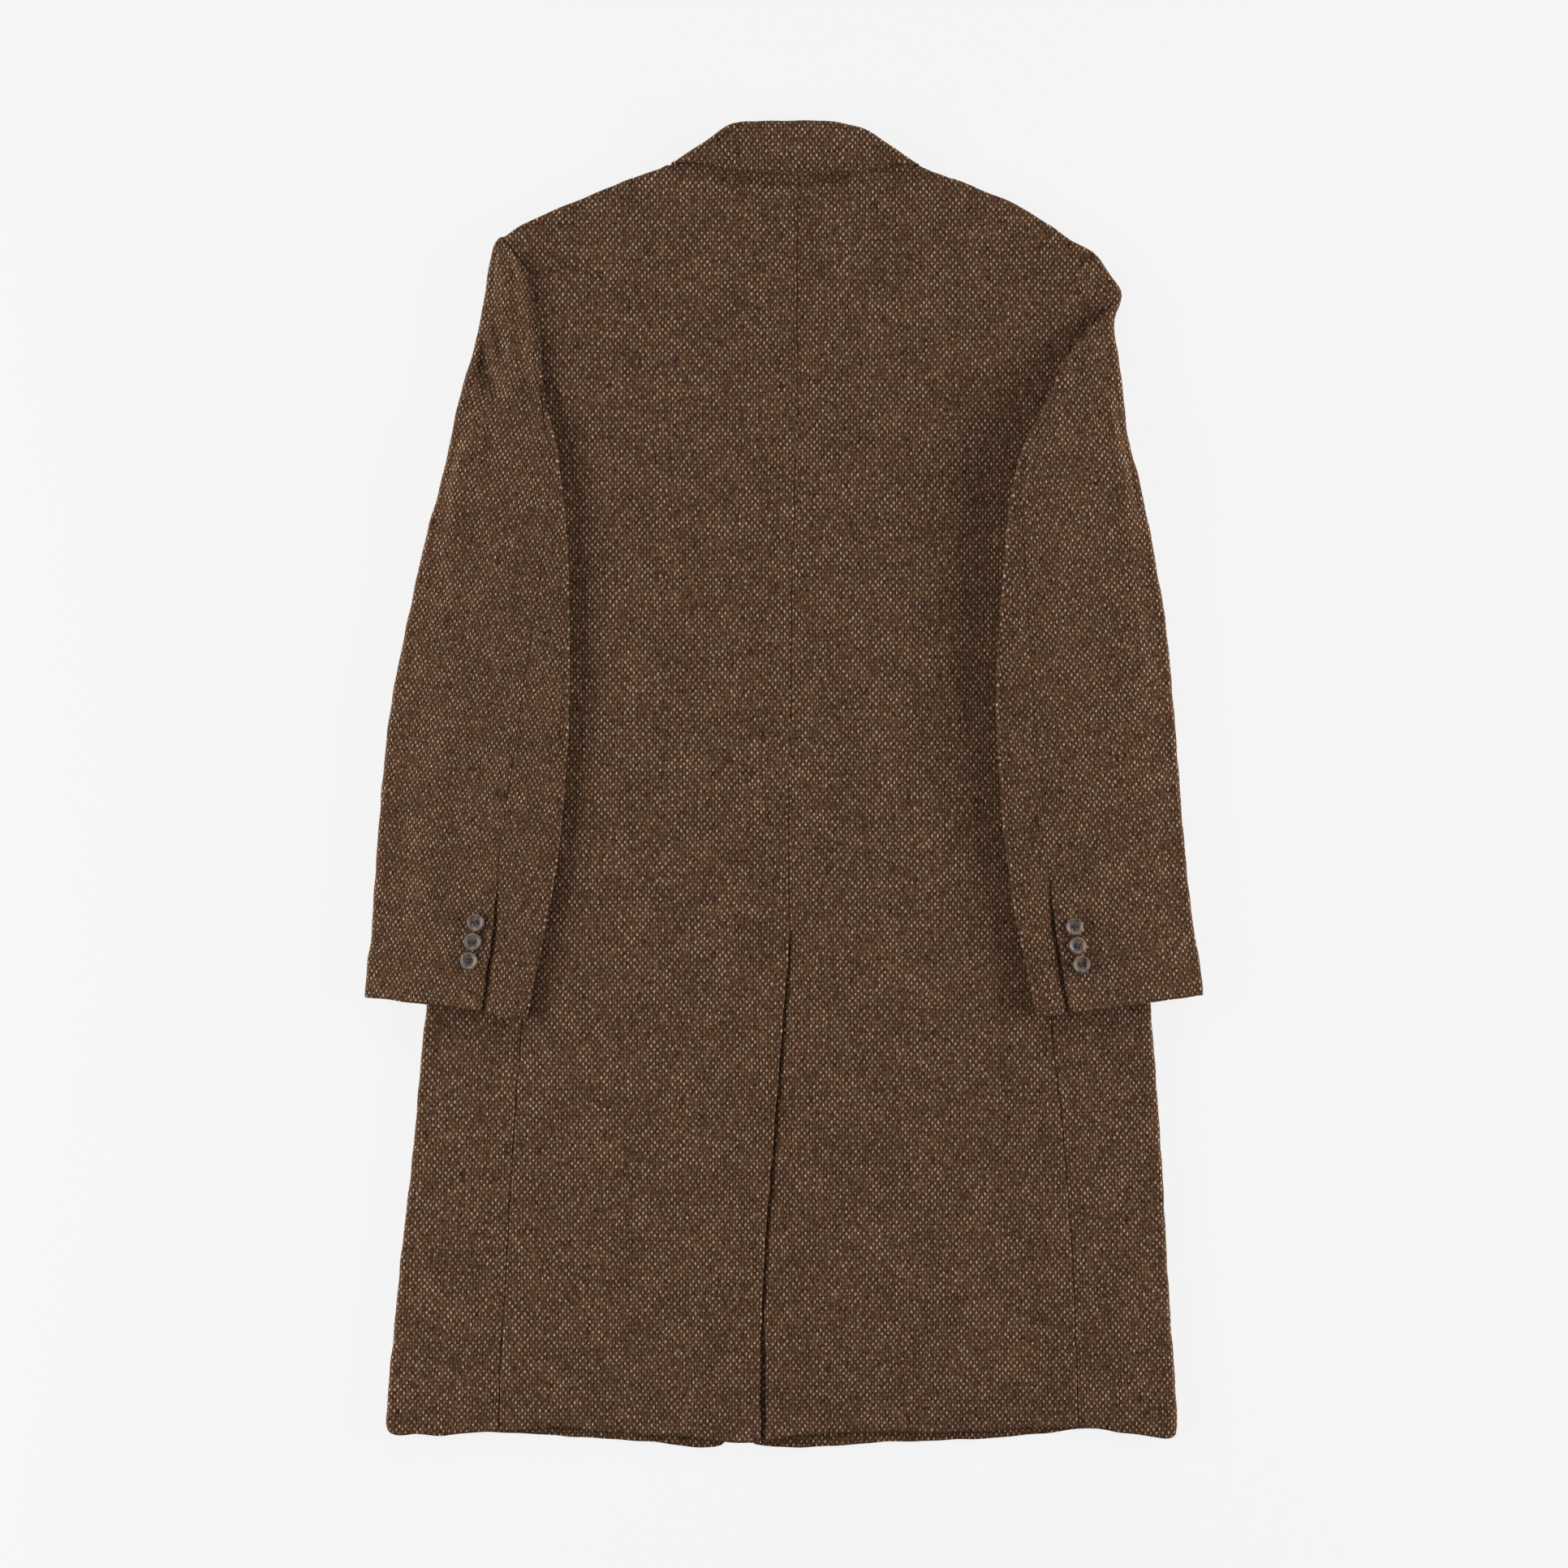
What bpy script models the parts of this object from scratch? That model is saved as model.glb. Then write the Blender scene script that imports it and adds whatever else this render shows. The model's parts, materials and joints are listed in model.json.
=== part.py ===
"""Chesterfield overcoat in barleycorn tweed, lying face down with its sleeves laid along its sides.

Each cut piece is a cloth wall of its own. Lengths in the tables are millimetres: x runs to the right
of the coat's middle, drop runs down from the top of the collar, z is the height above the surface
that the coat lies on. Left and right are those of someone looking down on the coat's back.
"""

import math

import bmesh
import bpy
import numpy as np

MM = 0.001

# Driving dimensions
LENGTH = 1128.2  # top of the collar to the lowest point of the hem
WALL = 2.4  # tweed with its interlining and lining
BODY_THICK = 8.6  # front and back lying on each other
SLEEVE_THICK = 8.6
SEAM_GAP = 0.4  # between two pieces that are sewn together
ARMHOLE_GAP = 2.3  # between a front and its sleeve
FRONT_SEAM_GAP = 1.2
SLEEVE_SEAM_GAP = 0.5
UNDERARM_GAP = 1.2  # below the sleeve at the underarm
BODY_STEPS = 13  # rows of a body panel from the underarm to the hem
SHELF = BODY_THICK + 0.6  # underside of a sleeve that lies on the body
LAPEL_LIFT = WALL + 0.4  # a front lies this high where it lies on its lapel
LAPEL_FEATHER = 12.0  # width over which a front comes down off its lapel
SIDE_SEAM_INSET = 38.0  # front side seam, in from the side fold
VENT_TOP = 690.0
VENT_DIP = 2.9  # the right back goes this far down to pass under the left
VENT_DIP_WIDTH = 15.0
VENT_UNDERLAP = 42.0
VENT_EASE = 20.0  # the dip starts and ends this far above and below the vent's top
VENT_CLEAR = 1.0  # room between the right back and the underlap
UNDERLAP_START = 34.0  # below the vent's top
UNDERLAP_HEM = 1119.5
LAPEL_TOP = 106.5  # the lapel's top corner at the roll line
LAPEL_POINT = 122.0
LAPEL_END = 392.0  # where the roll line runs out
LAPEL_FADE = (440.0, 480.0)  # below the lapel the front comes down to the floor
ROLL_GAP = 0.6  # between a front's edge and the pieces turned under it
SHOULDER_LIP = 0.02  # share of a panel's rows that turn at the shoulder
PANEL_LENGTH = 1068.0  # of a front or back, shoulder to hem
LEFT_NECK = -103.0  # x where the neck ends and the shoulder seam starts
RIGHT_NECK = 119.0
LEFT_LIP = -121.0  # x where a front starts to turn up at the shoulder
RIGHT_LIP = 136.0
COLLAR_ROLL = 6.2  # radius of the collar's turned edge
COLLAR_MID = 6.3  # height at which the collar's back and front ends meet
COLLAR_EDGE_TOP = 11.5
COLLAR_ROLL_TOP = 13.6
BUTTON_CLEARANCE = 0.45  # between a button and its cuff
BUTTON_STEPS = 14
HOLE_RADIUS = 0.9
HOLE_SPACING = 1.75

TWEED = (0.100, 0.058, 0.036, 1.0)
HORN = (0.085, 0.055, 0.038, 1.0)


def table(columns, *rows):
    """A short table as one array for each named column."""
    return dict(zip(columns.split(), np.array(rows, float).T))


# Plan of the body
CENTRE = table(
    "drop x",
    (34, 13.2), (139, 11.2), (264, 10.4), (388, 7.0), (512, 5.5), (636, 4.3), (684, 4.4), (740, 0.7),
    (795, -3.5), (850, -8.3), (905, -12.4), (960, -16.6), (1000, -18.4), (1123, -18.4),
)  # fmt: skip
LEFT_SHOULDER = table(
    "x drop",
    (-238, 100.9), (-224, 91), (-196, 77.3), (-163, 63.5), (-126, 49.7), (-106, 43), (-60, 40), (13.2, 34),
)  # fmt: skip
RIGHT_SHOULDER = table(
    "x drop",
    (13.2, 34), (75, 38), (121, 43), (139, 49.7), (177, 63.5), (206, 77.3), (227, 91), (248, 105),
    (261.5, 112),
)  # fmt: skip
LEFT_ARMHOLE = table(
    "drop x",
    (100.9, -238), (114.5, -228.4), (136.6, -216.7), (157, -212.3), (177, -209), (200, -207.6), (226, -207.5),
)  # fmt: skip
RIGHT_ARMHOLE = table(
    "drop x",
    (112, 261.5), (126, 254.6), (146, 245.8), (165, 243.6), (183, 242.9), (205, 242.5), (226, 242.5),
)  # fmt: skip
LEFT_FOLD = table(
    "drop x",
    (305, -270), (400, -271), (500, -275), (600, -284), (700, -297), (753, -303.6), (871, -314.6),
    (954, -323.6), (1036, -331.9), (1078, -336), (1106, -337.4), (1113, -336), (1117, -331),
)  # fmt: skip
RIGHT_FOLD = table(
    "drop x",
    (305, 282), (400, 284), (500, 288), (600, 294.5), (700, 304.5), (753, 311.5), (871, 319.5),
    (954, 324.3), (1036, 329.8), (1078, 332.6), (1110, 333.6), (1116, 332.5), (1120, 328),
)  # fmt: skip
LEFT_BACK_SEAM = table(
    "drop x",
    (226, -207.5), (300, -203), (400, -201), (500, -203), (600, -208), (700, -216), (781, -223.6),
    (864, -229), (947, -234.3), (1030, -238.7), (1085, -241.5), (1113.7, -242),
)  # fmt: skip
RIGHT_BACK_SEAM = table(
    "drop x",
    (226, 242.5), (300, 236), (400, 229), (500, 224), (600, 222.5), (700, 224), (788, 228.5), (843, 235.3),
    (926, 242.6), (1009, 247), (1064, 248.8), (1109.5, 250),
)  # fmt: skip
LEFT_BACK_HEM = table(
    "x drop",
    (-242, 1113.7), (-221, 1112.3), (-188, 1110), (-155, 1114), (-123, 1116.4), (-78, 1118.8),
    (-51, 1122.5), (-18.4, 1123.3),
)  # fmt: skip
RIGHT_BACK_HEM = table(
    "x drop",
    (-18.4, 1122.8), (0, 1118.8), (24, 1115.7), (72, 1114.7), (120, 1115), (181, 1112.8), (205, 1110.2),
    (250, 1109.5),
)  # fmt: skip
LEFT_FRONT_HEM = table(
    "x drop",
    (-299.4, 1118), (-270, 1115.5), (-246, 1115.5), (-200, 1117.8), (-159, 1120.6), (-112, 1123.3),
    (-75, 1128.2), (-56, 1127.2), (-49, 1122.5),
)  # fmt: skip
RIGHT_FRONT_HEM = table(
    "x drop",
    (-29, 1122), (-23, 1126), (12, 1128.2), (50, 1126), (95, 1123.3), (171, 1120.6), (230, 1115),
    (255, 1112.3), (295.6, 1115),
)  # fmt: skip
LEFT_FRONT_TOP = table(
    "x drop",
    (-238, 100.9), (-224, 91), (-196, 77.3), (-163, 63.5), (-126, 49.7), (-116, 51), (-108, 52), (-80, 62),
    (-42.5, 76),
)  # fmt: skip
RIGHT_FRONT_TOP = table(
    "x drop",
    (51.5, 76), (95, 62), (124, 52), (132, 51), (141, 50.3), (177, 63.5), (206, 77.3), (227, 91),
    (248, 105), (261.5, 112),
)  # fmt: skip
LEFT_FRONT_EDGE = table("drop x", (1, -41.4), (395, -21), (700, -30), (1122.5, -49))
RIGHT_FRONT_EDGE = table("drop x", (4, 64), (395, -7), (700, -14), (1122, -29))
LEFT_LAPEL = table(
    "drop x", (40, -78), (105, -104), (122, -130), (200, -112), (290, -76), (350, -46), (392, -25)
)
RIGHT_LAPEL = table("drop x", (40, 100), (105, 114), (122, 136), (200, 112), (290, 64), (350, 25), (392, -3))

LAPEL_MARGIN = table("drop width", (70, 20), (110, 28))  # a front stays up this far past its lapel

# Plan of the collar
COLLAR_OUTLINE = table(
    "along x drop",
    (0.00, -97, 38.6), (0.14, -69, 18.6), (0.26, -44, 2.4), (0.34, -28, 0), (0.58, 33, 0), (0.68, 60, 4.2),
    (0.76, 80, 14.2), (0.88, 100, 28.2), (1.00, 117, 39.2),
)  # fmt: skip
COLLAR_EDGE = table(
    "along x drop",
    (0.00, -93, 43.5), (0.12, -67, 37.6), (0.26, -40, 43), (0.42, -5, 46.2), (0.56, 26, 46.4),
    (0.72, 66, 44.6), (0.88, 99, 40.4), (1.00, 113.5, 44.2),
)  # fmt: skip
COLLAR_END_LEFT = 0.26  # along the outline, where the collar's left end turns under
COLLAR_END_RIGHT = 0.68
COLLAR_FRONT_DROP = 104.0

# Plan of the sleeves
LEFT_OUTER = table(
    "drop x",
    (104, -241.6), (113, -247.4), (139, -252.5), (160, -256), (181, -260), (201, -265), (222, -271),
    (243, -276.7), (264, -281), (305, -290.5), (346, -301.5), (388, -311), (429, -320), (471, -328.4),
    (512, -335.3), (553, -340), (595, -343.6), (678, -349), (698, -350.5), (719, -354), (745.5, -356),
)  # fmt: skip
RIGHT_OUTER = table(
    "drop x",
    (115, 266), (125, 272), (139, 281.5), (147, 285.6), (154, 284.6), (166, 281), (179, 279.3), (201, 283),
    (222, 286.4), (264, 291.2), (284, 295.3), (305, 300.8), (346, 309.8), (388, 317.4), (429, 323.6),
    (471, 327.8), (533, 333.3), (595, 338), (636, 341.6), (678, 346.4), (719, 353.3), (743.8, 356),
)  # fmt: skip
LEFT_INNER = table(
    "drop x",
    (210, -209.5), (236, -203), (270, -194.6), (305, -189), (346, -184.2), (400, -181.5), (453, -181.5),
    (505, -182.2), (560, -184.9), (602, -189), (636, -193.2), (667, -198.4), (697, -203.6), (727, -209.8),
    (763, -218),
)  # fmt: skip
RIGHT_INNER = table(
    "drop x",
    (200, 243), (212, 234.6), (232, 227), (250, 218), (270, 206), (295, 197.3), (316, 193.2), (342, 189),
    (374, 186.6), (408, 183.5), (450, 180.8), (484, 179.4), (533, 180.8), (588, 184.2), (629, 189),
    (678, 196), (719, 204.9), (761, 213.6),
)  # fmt: skip
LEFT_SEAM = table(
    "drop x",
    (104, -236.9), (114.5, -229.2), (136.6, -217.5), (157, -213.1), (177, -209.8), (197, -209), (217, -212),
    (240, -207), (266, -200.9), (286, -197.6), (312, -197.6), (340, -201), (391, -206.5), (450, -214.6),
    (481, -219.4), (533, -227), (574, -233), (622, -240), (671, -244.6), (698, -247.7), (726, -251.9),
    (756, -255.5),
)  # fmt: skip
RIGHT_SEAM = table(
    "drop x",
    (114.5, 260.8), (126, 255.4), (146, 246.6), (165, 244.4), (190, 243.8), (206, 246.2), (216, 239),
    (233, 232.6), (252, 223), (271, 211.8), (295, 203), (318, 199.5), (340, 200.2), (381, 203.6),
    (436, 207), (491, 210.5), (546, 215.3), (602, 220.8), (657, 226.3), (712, 233.9), (758, 242),
)  # fmt: skip
LEFT_UNDER_SEAM = table(
    "drop x",
    (104, -236.9), (113, -230.9), (128, -222.2), (150, -214.2), (178, -210), (212, -208.8), (226, -209.8),
    (245, -224.5), (265, -240.4), (285, -256.3), (305, -272.2), (312, -275.4), (400, -276), (500, -280),
    (600, -289), (700, -302), (753, -309),
)  # fmt: skip
RIGHT_UNDER_SEAM = table(
    "drop x",
    (114.5, 260.8), (125, 256), (146, 247), (165, 244.8), (190, 244), (226, 244.4), (245, 253.5),
    (265, 263.5), (285, 273.5), (305, 284), (312, 286.5), (400, 289.4), (500, 293.4), (600, 300),
    (700, 309.8), (753, 317),
)  # fmt: skip

# Section lines across the sleeves, from the shoulder to the cuff: where each one crosses the back seam,
# the inner fold, the outer fold and the seam underneath, and how high the cloth lies there.
SLEEVE_COLUMNS = "seam_drop inner_drop outer_drop under_drop inner_top inner_low outer_top outer_low under_low"
LEFT_SLEEVE = table(
    SLEEVE_COLUMNS,
    (104, 210, 105, 104, 8.6, 9.2, 8.6, 0.0, 0.0),
    (113, 211, 114, 113, 8.6, 9.2, 8.6, 0.0, 0.0),
    (127, 212, 128, 128, 8.8, 9.2, 8.8, 0.0, 0.0),
    (147, 213, 148, 150, 9.4, 9.2, 9.0, 0.0, 0.0),
    (171, 215, 173, 178, 11.2, 9.2, 9.4, 0.0, 0.2),
    (197, 216, 199, 210, 14.0, 9.2, 10.0, 0.2, 0.6),
    (217, 228, 219, 232, 16.6, 9.2, 10.6, 0.6, 1.6),
    (240, 246, 241, 251, 17.8, 9.4, 11.0, 1.2, 3.4),
    (266, 268, 267, 279, 18.4, 9.8, 11.2, 2.0, 6.4),
    (286, 287, 287, 306, 18.6, 10.0, 11.3, 2.6, 9.2),
    (312, 311, 311, 316, 18.8, 10.2, 11.4, 2.8, 9.2),
    (400, 400, 400, 400, 18.8, 10.2, 11.6, 3.0, 9.2),
    (520, 520, 520, 520, 18.4, 9.8, 11.6, 3.0, 9.2),
    (640, 640, 640, 640, 18.0, 9.4, 11.6, 3.0, 9.2),
    (756, 763, 745.5, 753, 17.8, 9.2, 11.4, 2.8, 9.2),
)
RIGHT_SLEEVE = table(
    SLEEVE_COLUMNS,
    (114.5, 202, 115.5, 114.5, 8.6, 9.2, 8.6, 0.0, 0.0),
    (126, 203, 124, 125, 8.6, 9.2, 8.8, 0.0, 0.0),
    (142, 204, 136, 143, 8.8, 9.2, 9.4, 0.0, 0.0),
    (166, 205, 146, 166, 8.8, 9.2, 9.8, 0.0, 0.2),
    (192, 206, 153, 190, 8.4, 9.2, 8.6, 0.0, 0.4),
    (206, 216, 161, 226, 19.2, 9.6, 14.6, 0.4, 0.8),
    (216, 228, 178, 240, 21.4, 11.6, 14.4, 1.0, 1.6),
    (233, 240, 204, 254, 23.0, 13.8, 12.8, 1.8, 3.4),
    (252, 256, 232, 276, 24.2, 15.4, 12.2, 2.4, 6.4),
    (271, 273, 258, 300, 25.0, 16.4, 12.0, 2.8, 9.2),
    (295, 295, 288, 314, 25.4, 16.8, 11.8, 3.0, 9.2),
    (330, 330, 328, 334, 25.4, 16.8, 11.6, 3.0, 9.2),
    (400, 400, 400, 400, 24.4, 15.8, 11.6, 3.0, 9.2),
    (520, 520, 520, 520, 22.2, 13.6, 11.6, 3.0, 9.2),
    (640, 640, 640, 640, 19.4, 10.8, 11.6, 3.0, 9.2),
    (758, 761, 743.8, 753, 18.0, 9.4, 11.4, 2.8, 9.2),
)
LEFT_SLEEVE_TUBE = 6  # first section line that has an inner fold
RIGHT_SLEEVE_TUBE = 5

LEFT_BUTTONS = table("x drop", (-260.8, 681.6), (-263.2, 697.8), (-266.4, 714.0))
RIGHT_BUTTONS = table("x drop", (245.6, 685.0), (248.2, 701.0), (251.4, 717.0))
BUTTON_PROFILE = table(
    "radius z", (0, 0), (6.2, 0), (7.3, 1.1), (7.0, 2.5), (6.1, 3.0), (4.9, 2.1), (0, 1.9)
)


def smooth(xs, ys, at):
    """Cubic through the points (xs, ys) that never overshoots them."""
    step = np.diff(xs)
    slope = np.diff(ys) / step
    bend = np.concatenate([slope[:1], np.zeros(len(slope) - 1), slope[-1:]])
    same = np.flatnonzero(slope[:-1] * slope[1:] > 0)
    bend[same + 1] = 2 * slope[same] * slope[same + 1] / (slope[same] + slope[same + 1])
    at = np.clip(at, xs[0], xs[-1])
    k = np.clip(np.searchsorted(xs, at) - 1, 0, len(step) - 1)
    t = (at - xs[k]) / step[k]
    near = (1 + 2 * t) * ys[k] + t * step[k] * bend[k]
    far = (3 - 2 * t) * ys[k + 1] + (t - 1) * step[k] * bend[k + 1]
    return (1 - t) ** 2 * near + t**2 * far


def x_at(edge, drop):
    return smooth(edge["drop"], edge["x"], drop)


def drop_at(edge, x):
    return smooth(edge["x"], edge["drop"], x)


def mix(a, b, t):
    return a + (b - a) * t


def ease(t):
    t = np.clip(t, 0, 1)
    return t * t * (3 - 2 * t)


def patch(top, bottom, inner, outer, u, v):
    """Plan point (x, drop) of a panel between its four edges, each a function of u or v."""
    zero = np.zeros(1)
    one = np.ones(1)
    corner = {(a, b): edge(end) for b, edge in ((0, top), (1, bottom)) for a, end in ((0, zero), (1, one))}
    point = []
    for axis in (0, 1):
        across = mix(top(u)[axis], bottom(u)[axis], v)
        along = mix(inner(v)[axis], outer(v)[axis], u)
        upper = mix(corner[0, 0][axis], corner[1, 0][axis], u)
        lower = mix(corner[0, 1][axis], corner[1, 1][axis], u)
        point.append(across + along - mix(upper, lower, v))
    return point


def lip(v, share, radius):
    """Distance in from a turned edge, and how far the cloth has turned away there, at v from 0 to share."""
    angle = 0.5 * math.pi * np.clip(v / share, 0, 1)
    return radius * (1 - np.cos(angle)), radius * (1 - np.sin(angle))


def shoulder_turn(v, radius):
    """Share of a panel's length at v, and how far the cloth has turned away there at the shoulder."""
    inset, turned = lip(v, SHOULDER_LIP, radius)
    flat = mix(radius, PANEL_LENGTH, (v - SHOULDER_LIP) / (1 - SHOULDER_LIP))
    return np.where(v < SHOULDER_LIP, inset, flat) / PANEL_LENGTH, turned


def vent_opening(drop):
    """How far the vent has opened, from 0 above its top to 1 below."""
    return ease((drop - VENT_TOP + VENT_EASE) / (2 * VENT_EASE))


def wrap(u, start, fold, end, side, turn=(0.46, 0.66), crest=None):
    """Section of cloth that runs from start to a fold, turns round it to its other face and runs to end.

    start and end are (x, drop, z), fold is (x, drop, top, low), side is the way the fold points in x.
    A crest (share of the first run, z) is a shelf that the first run passes on its way.
    """
    radius = (fold[2] - fold[3]) / 2
    middle = fold[0] - side * radius
    first = np.clip(u / turn[0], 0, 1)
    second = np.clip((u - turn[0]) / (turn[1] - turn[0]), 0, 1)
    third = np.clip((u - turn[1]) / (1 - turn[1]), 0, 1)
    x = np.where(u <= turn[1], mix(start[0], middle, first), mix(middle, end[0], third))
    drop = np.where(u <= turn[1], mix(start[1], fold[1], first), mix(fold[1], end[1], third))
    x = x + side * radius * np.sin(math.pi * second)
    turned = fold[3] + radius * (1 + np.cos(math.pi * second))
    run = mix(start[2], fold[2], ease(first))
    if crest:
        straight = mix(start[2], crest[1], ease(first / crest[0]))
        run = mix(straight, fold[2], ease((first - crest[0]) / (1 - crest[0])))
    z = np.where(u < turn[0], run, turned)
    z = np.where(u > turn[1], mix(fold[3], end[2], ease(third)), z)
    return np.array([x, drop, z])


def stretches(*parts):
    """Sample positions from 0 to 1 as (end, number of steps) of each stretch in turn."""
    found = [np.zeros(1)]
    for end, steps in parts:
        found.append(np.linspace(found[-1][-1], end, steps + 1)[1:])
    return np.concatenate(found)


def material(name, colour, roughness):
    made = bpy.data.materials.new(name)
    made.use_nodes = True
    shader = made.node_tree.nodes["Principled BSDF"]
    shader.inputs["Base Color"].default_value = colour
    shader.inputs["Roughness"].default_value = roughness
    shader.inputs["Metallic"].default_value = 0.0
    return made


def finish(bm, name, colour, roughness, parent):
    """Object made from a bmesh, with its own material."""
    bmesh.ops.recalc_face_normals(bm, faces=bm.faces)
    mesh = bpy.data.meshes.new(name)
    bm.to_mesh(mesh)
    bm.free()
    mesh.shade_smooth()
    mesh.set_sharp_from_angle(angle=math.radians(50))
    mesh.materials.append(material(name + "_finish", colour, roughness))
    made = bpy.data.objects.new(name, mesh)
    made.parent = parent
    bpy.context.scene.collection.objects.link(made)
    return made


def wall(name, surface, us, vs, facing, parent, across=False):
    """Closed cloth wall whose outer face is surface(u, v); facing is 1 where u by v points inwards.

    The wall stands square to the face, or square to its section lines only if across is set.
    """
    u, v = np.meshgrid(us, vs, indexing="ij")
    nudge = 1e-4
    outer = surface(u, v)
    along_u = surface(np.minimum(u + nudge, 1), v) - surface(np.maximum(u - nudge, 0), v)
    along_v = surface(u, np.minimum(v + nudge, 1)) - surface(u, np.maximum(v - nudge, 0))
    if across:
        along_v[2] = 0
    normal = np.cross(along_u, along_v, axis=0)
    inner = outer + facing * WALL * normal / np.linalg.norm(normal, axis=0)
    count = u.size
    grid = np.arange(count).reshape(u.shape)
    quads = np.stack([grid[:-1, :-1], grid[1:, :-1], grid[1:, 1:], grid[:-1, 1:]], -1).reshape(-1, 4)
    rim = np.concatenate([grid[:-1, 0], grid[-1, :-1], grid[:0:-1, -1], grid[0, :0:-1]])
    after = np.roll(rim, -1)
    sides = np.stack([after, rim, rim + count, after + count], -1)
    faces = np.concatenate([quads, quads[:, ::-1] + count, sides])
    points = np.concatenate([outer.reshape(3, -1), inner.reshape(3, -1)], axis=1)
    points[1] = LENGTH / 2 - points[1]
    bm = bmesh.new()
    corners = [bm.verts.new(point * MM) for point in points.T]
    for face in faces:
        bm.faces.new([corners[k] for k in face])
    return finish(bm, name, TWEED, 0.9, parent)


def armhole_then_seam(armhole, seam):
    """Outer edge of a back: the armhole, then the seam to the side body."""
    return {column: np.concatenate([armhole[column], seam[column][1:]]) for column in ("drop", "x")}


def back_panel(name, side, shoulder, armhole, outer_edge, hem, parent):
    """Half of the back, from the centre seam to the armhole and side seam, turned down at the shoulder."""
    radius = BODY_THICK / 2
    neck_x = LEFT_NECK if side < 0 else RIGHT_NECK
    outer_top = outer_edge["drop"][0]
    ends = (CENTRE["x"][0] + side * SEAM_GAP / 2, outer_edge["x"][0] - side * SEAM_GAP / 2)
    foot = (CENTRE["x"][-1] + side * SEAM_GAP / 2, outer_edge["x"][-1] - side * SEAM_GAP / 2)
    clear = VENT_CLEAR if side > 0 else 0.0

    def top(u):
        x = mix(ends[0], ends[1], u)
        return x, drop_at(shoulder, x)

    def bottom(u):
        x = mix(foot[0] + clear, foot[1], u)
        return x, drop_at(hem, x)

    def inner(v):
        drop = mix(top(np.zeros(1))[1], bottom(np.zeros(1))[1], v)
        return x_at(CENTRE, drop) + side * SEAM_GAP / 2 + clear * vent_opening(drop), drop

    def outer(v):
        drop = mix(outer_top, bottom(np.ones(1))[1], v)
        return x_at(outer_edge, drop) - side * SEAM_GAP / 2, drop

    def surface(u, v):
        down, turned = shoulder_turn(v, radius)
        x, drop = patch(top, bottom, inner, outer, u, down)
        shoulder_part = side * (mix(ends[0], ends[1], u) - neck_x) > 0
        z = BODY_THICK - np.where(shoulder_part, turned - SEAM_GAP / 2 * (v <= 0), 0)
        if side > 0:
            depth = 1 - ease((x - x_at(CENTRE, drop) - VENT_CLEAR) / VENT_DIP_WIDTH)
            z = z - VENT_DIP * depth * vent_opening(drop)
        return np.array([x, drop, z])

    neck = (neck_x - ends[0]) / (ends[1] - ends[0])
    columns = stretches((0.02, 1), (0.045, 1), (0.08, 1), (neck - 0.012, 3), (neck + 0.012, 1), (1, 4))
    seam_top = armhole["drop"][-1] + UNDERARM_GAP
    underarm = (seam_top - outer_top) / (outer_edge["drop"][-1] - outer_top)
    roll = radius / PANEL_LENGTH
    downs = mix(roll, underarm, np.linspace(0, 1, 7))[:-1], mix(underarm, 1, np.linspace(0, 1, BODY_STEPS + 1))
    rows = mix(SHOULDER_LIP, 1, (np.concatenate(downs) - roll) / (1 - roll))
    rows = np.concatenate([np.linspace(0, SHOULDER_LIP, 4)[:-1], rows])
    return wall(name, surface, columns, rows, -side, parent)


def vent_underlap(parent):
    """The right back's extension, which lies under the left back from the top of the vent to the hem."""

    def surface(u, v):
        drop = mix(VENT_TOP + UNDERLAP_START, UNDERLAP_HEM, v)
        right = x_at(CENTRE, drop) - VENT_CLEAR / 2
        x = mix(right, right - VENT_UNDERLAP, u)
        return np.array([x, drop, np.full_like(x, BODY_THICK - VENT_DIP)])

    return wall("vent_underlap", surface, np.linspace(0, 1, 4), np.linspace(0, 1, 11), 1, parent)


def underarm_slope(armhole, fold):
    """Drop per millimetre of x along the straight lower armhole, from its back corner to the armpit."""
    return (fold["drop"][0] - armhole["drop"][-1]) / abs(fold["x"][0] - armhole["x"][-1])


def side_body(name, side, armhole, back_seam, fold, hem_drops, parent):
    """Underarm panel: from the back seam on top, round the side fold, to the front seam underneath."""
    armpit = fold["drop"][0]
    front_top = armpit - underarm_slope(armhole, fold) * SIDE_SEAM_INSET

    def surface(u, v):
        seam_drop = mix(armhole["drop"][-1] + UNDERARM_GAP, hem_drops[0], v)
        fold_drop = mix(armpit + UNDERARM_GAP, hem_drops[1], v)
        front_drop = mix(front_top + UNDERARM_GAP, hem_drops[2], v)
        start = (x_at(back_seam, seam_drop) + side * SEAM_GAP / 2, seam_drop, BODY_THICK)
        edge = (x_at(fold, fold_drop), fold_drop, BODY_THICK, 0.0)
        end = (x_at(fold, front_drop) - side * (SIDE_SEAM_INSET - SEAM_GAP / 2), front_drop, 0.0)
        return wrap(u, start, edge, end, side)

    columns = stretches((0.46, 3), (0.66, 6), (1, 2))
    rows = stretches((1 - 1 / BODY_STEPS, BODY_STEPS - 1), (0.985, 1), (1, 3))
    return wall(name, surface, columns, rows, -side, parent)


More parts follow.
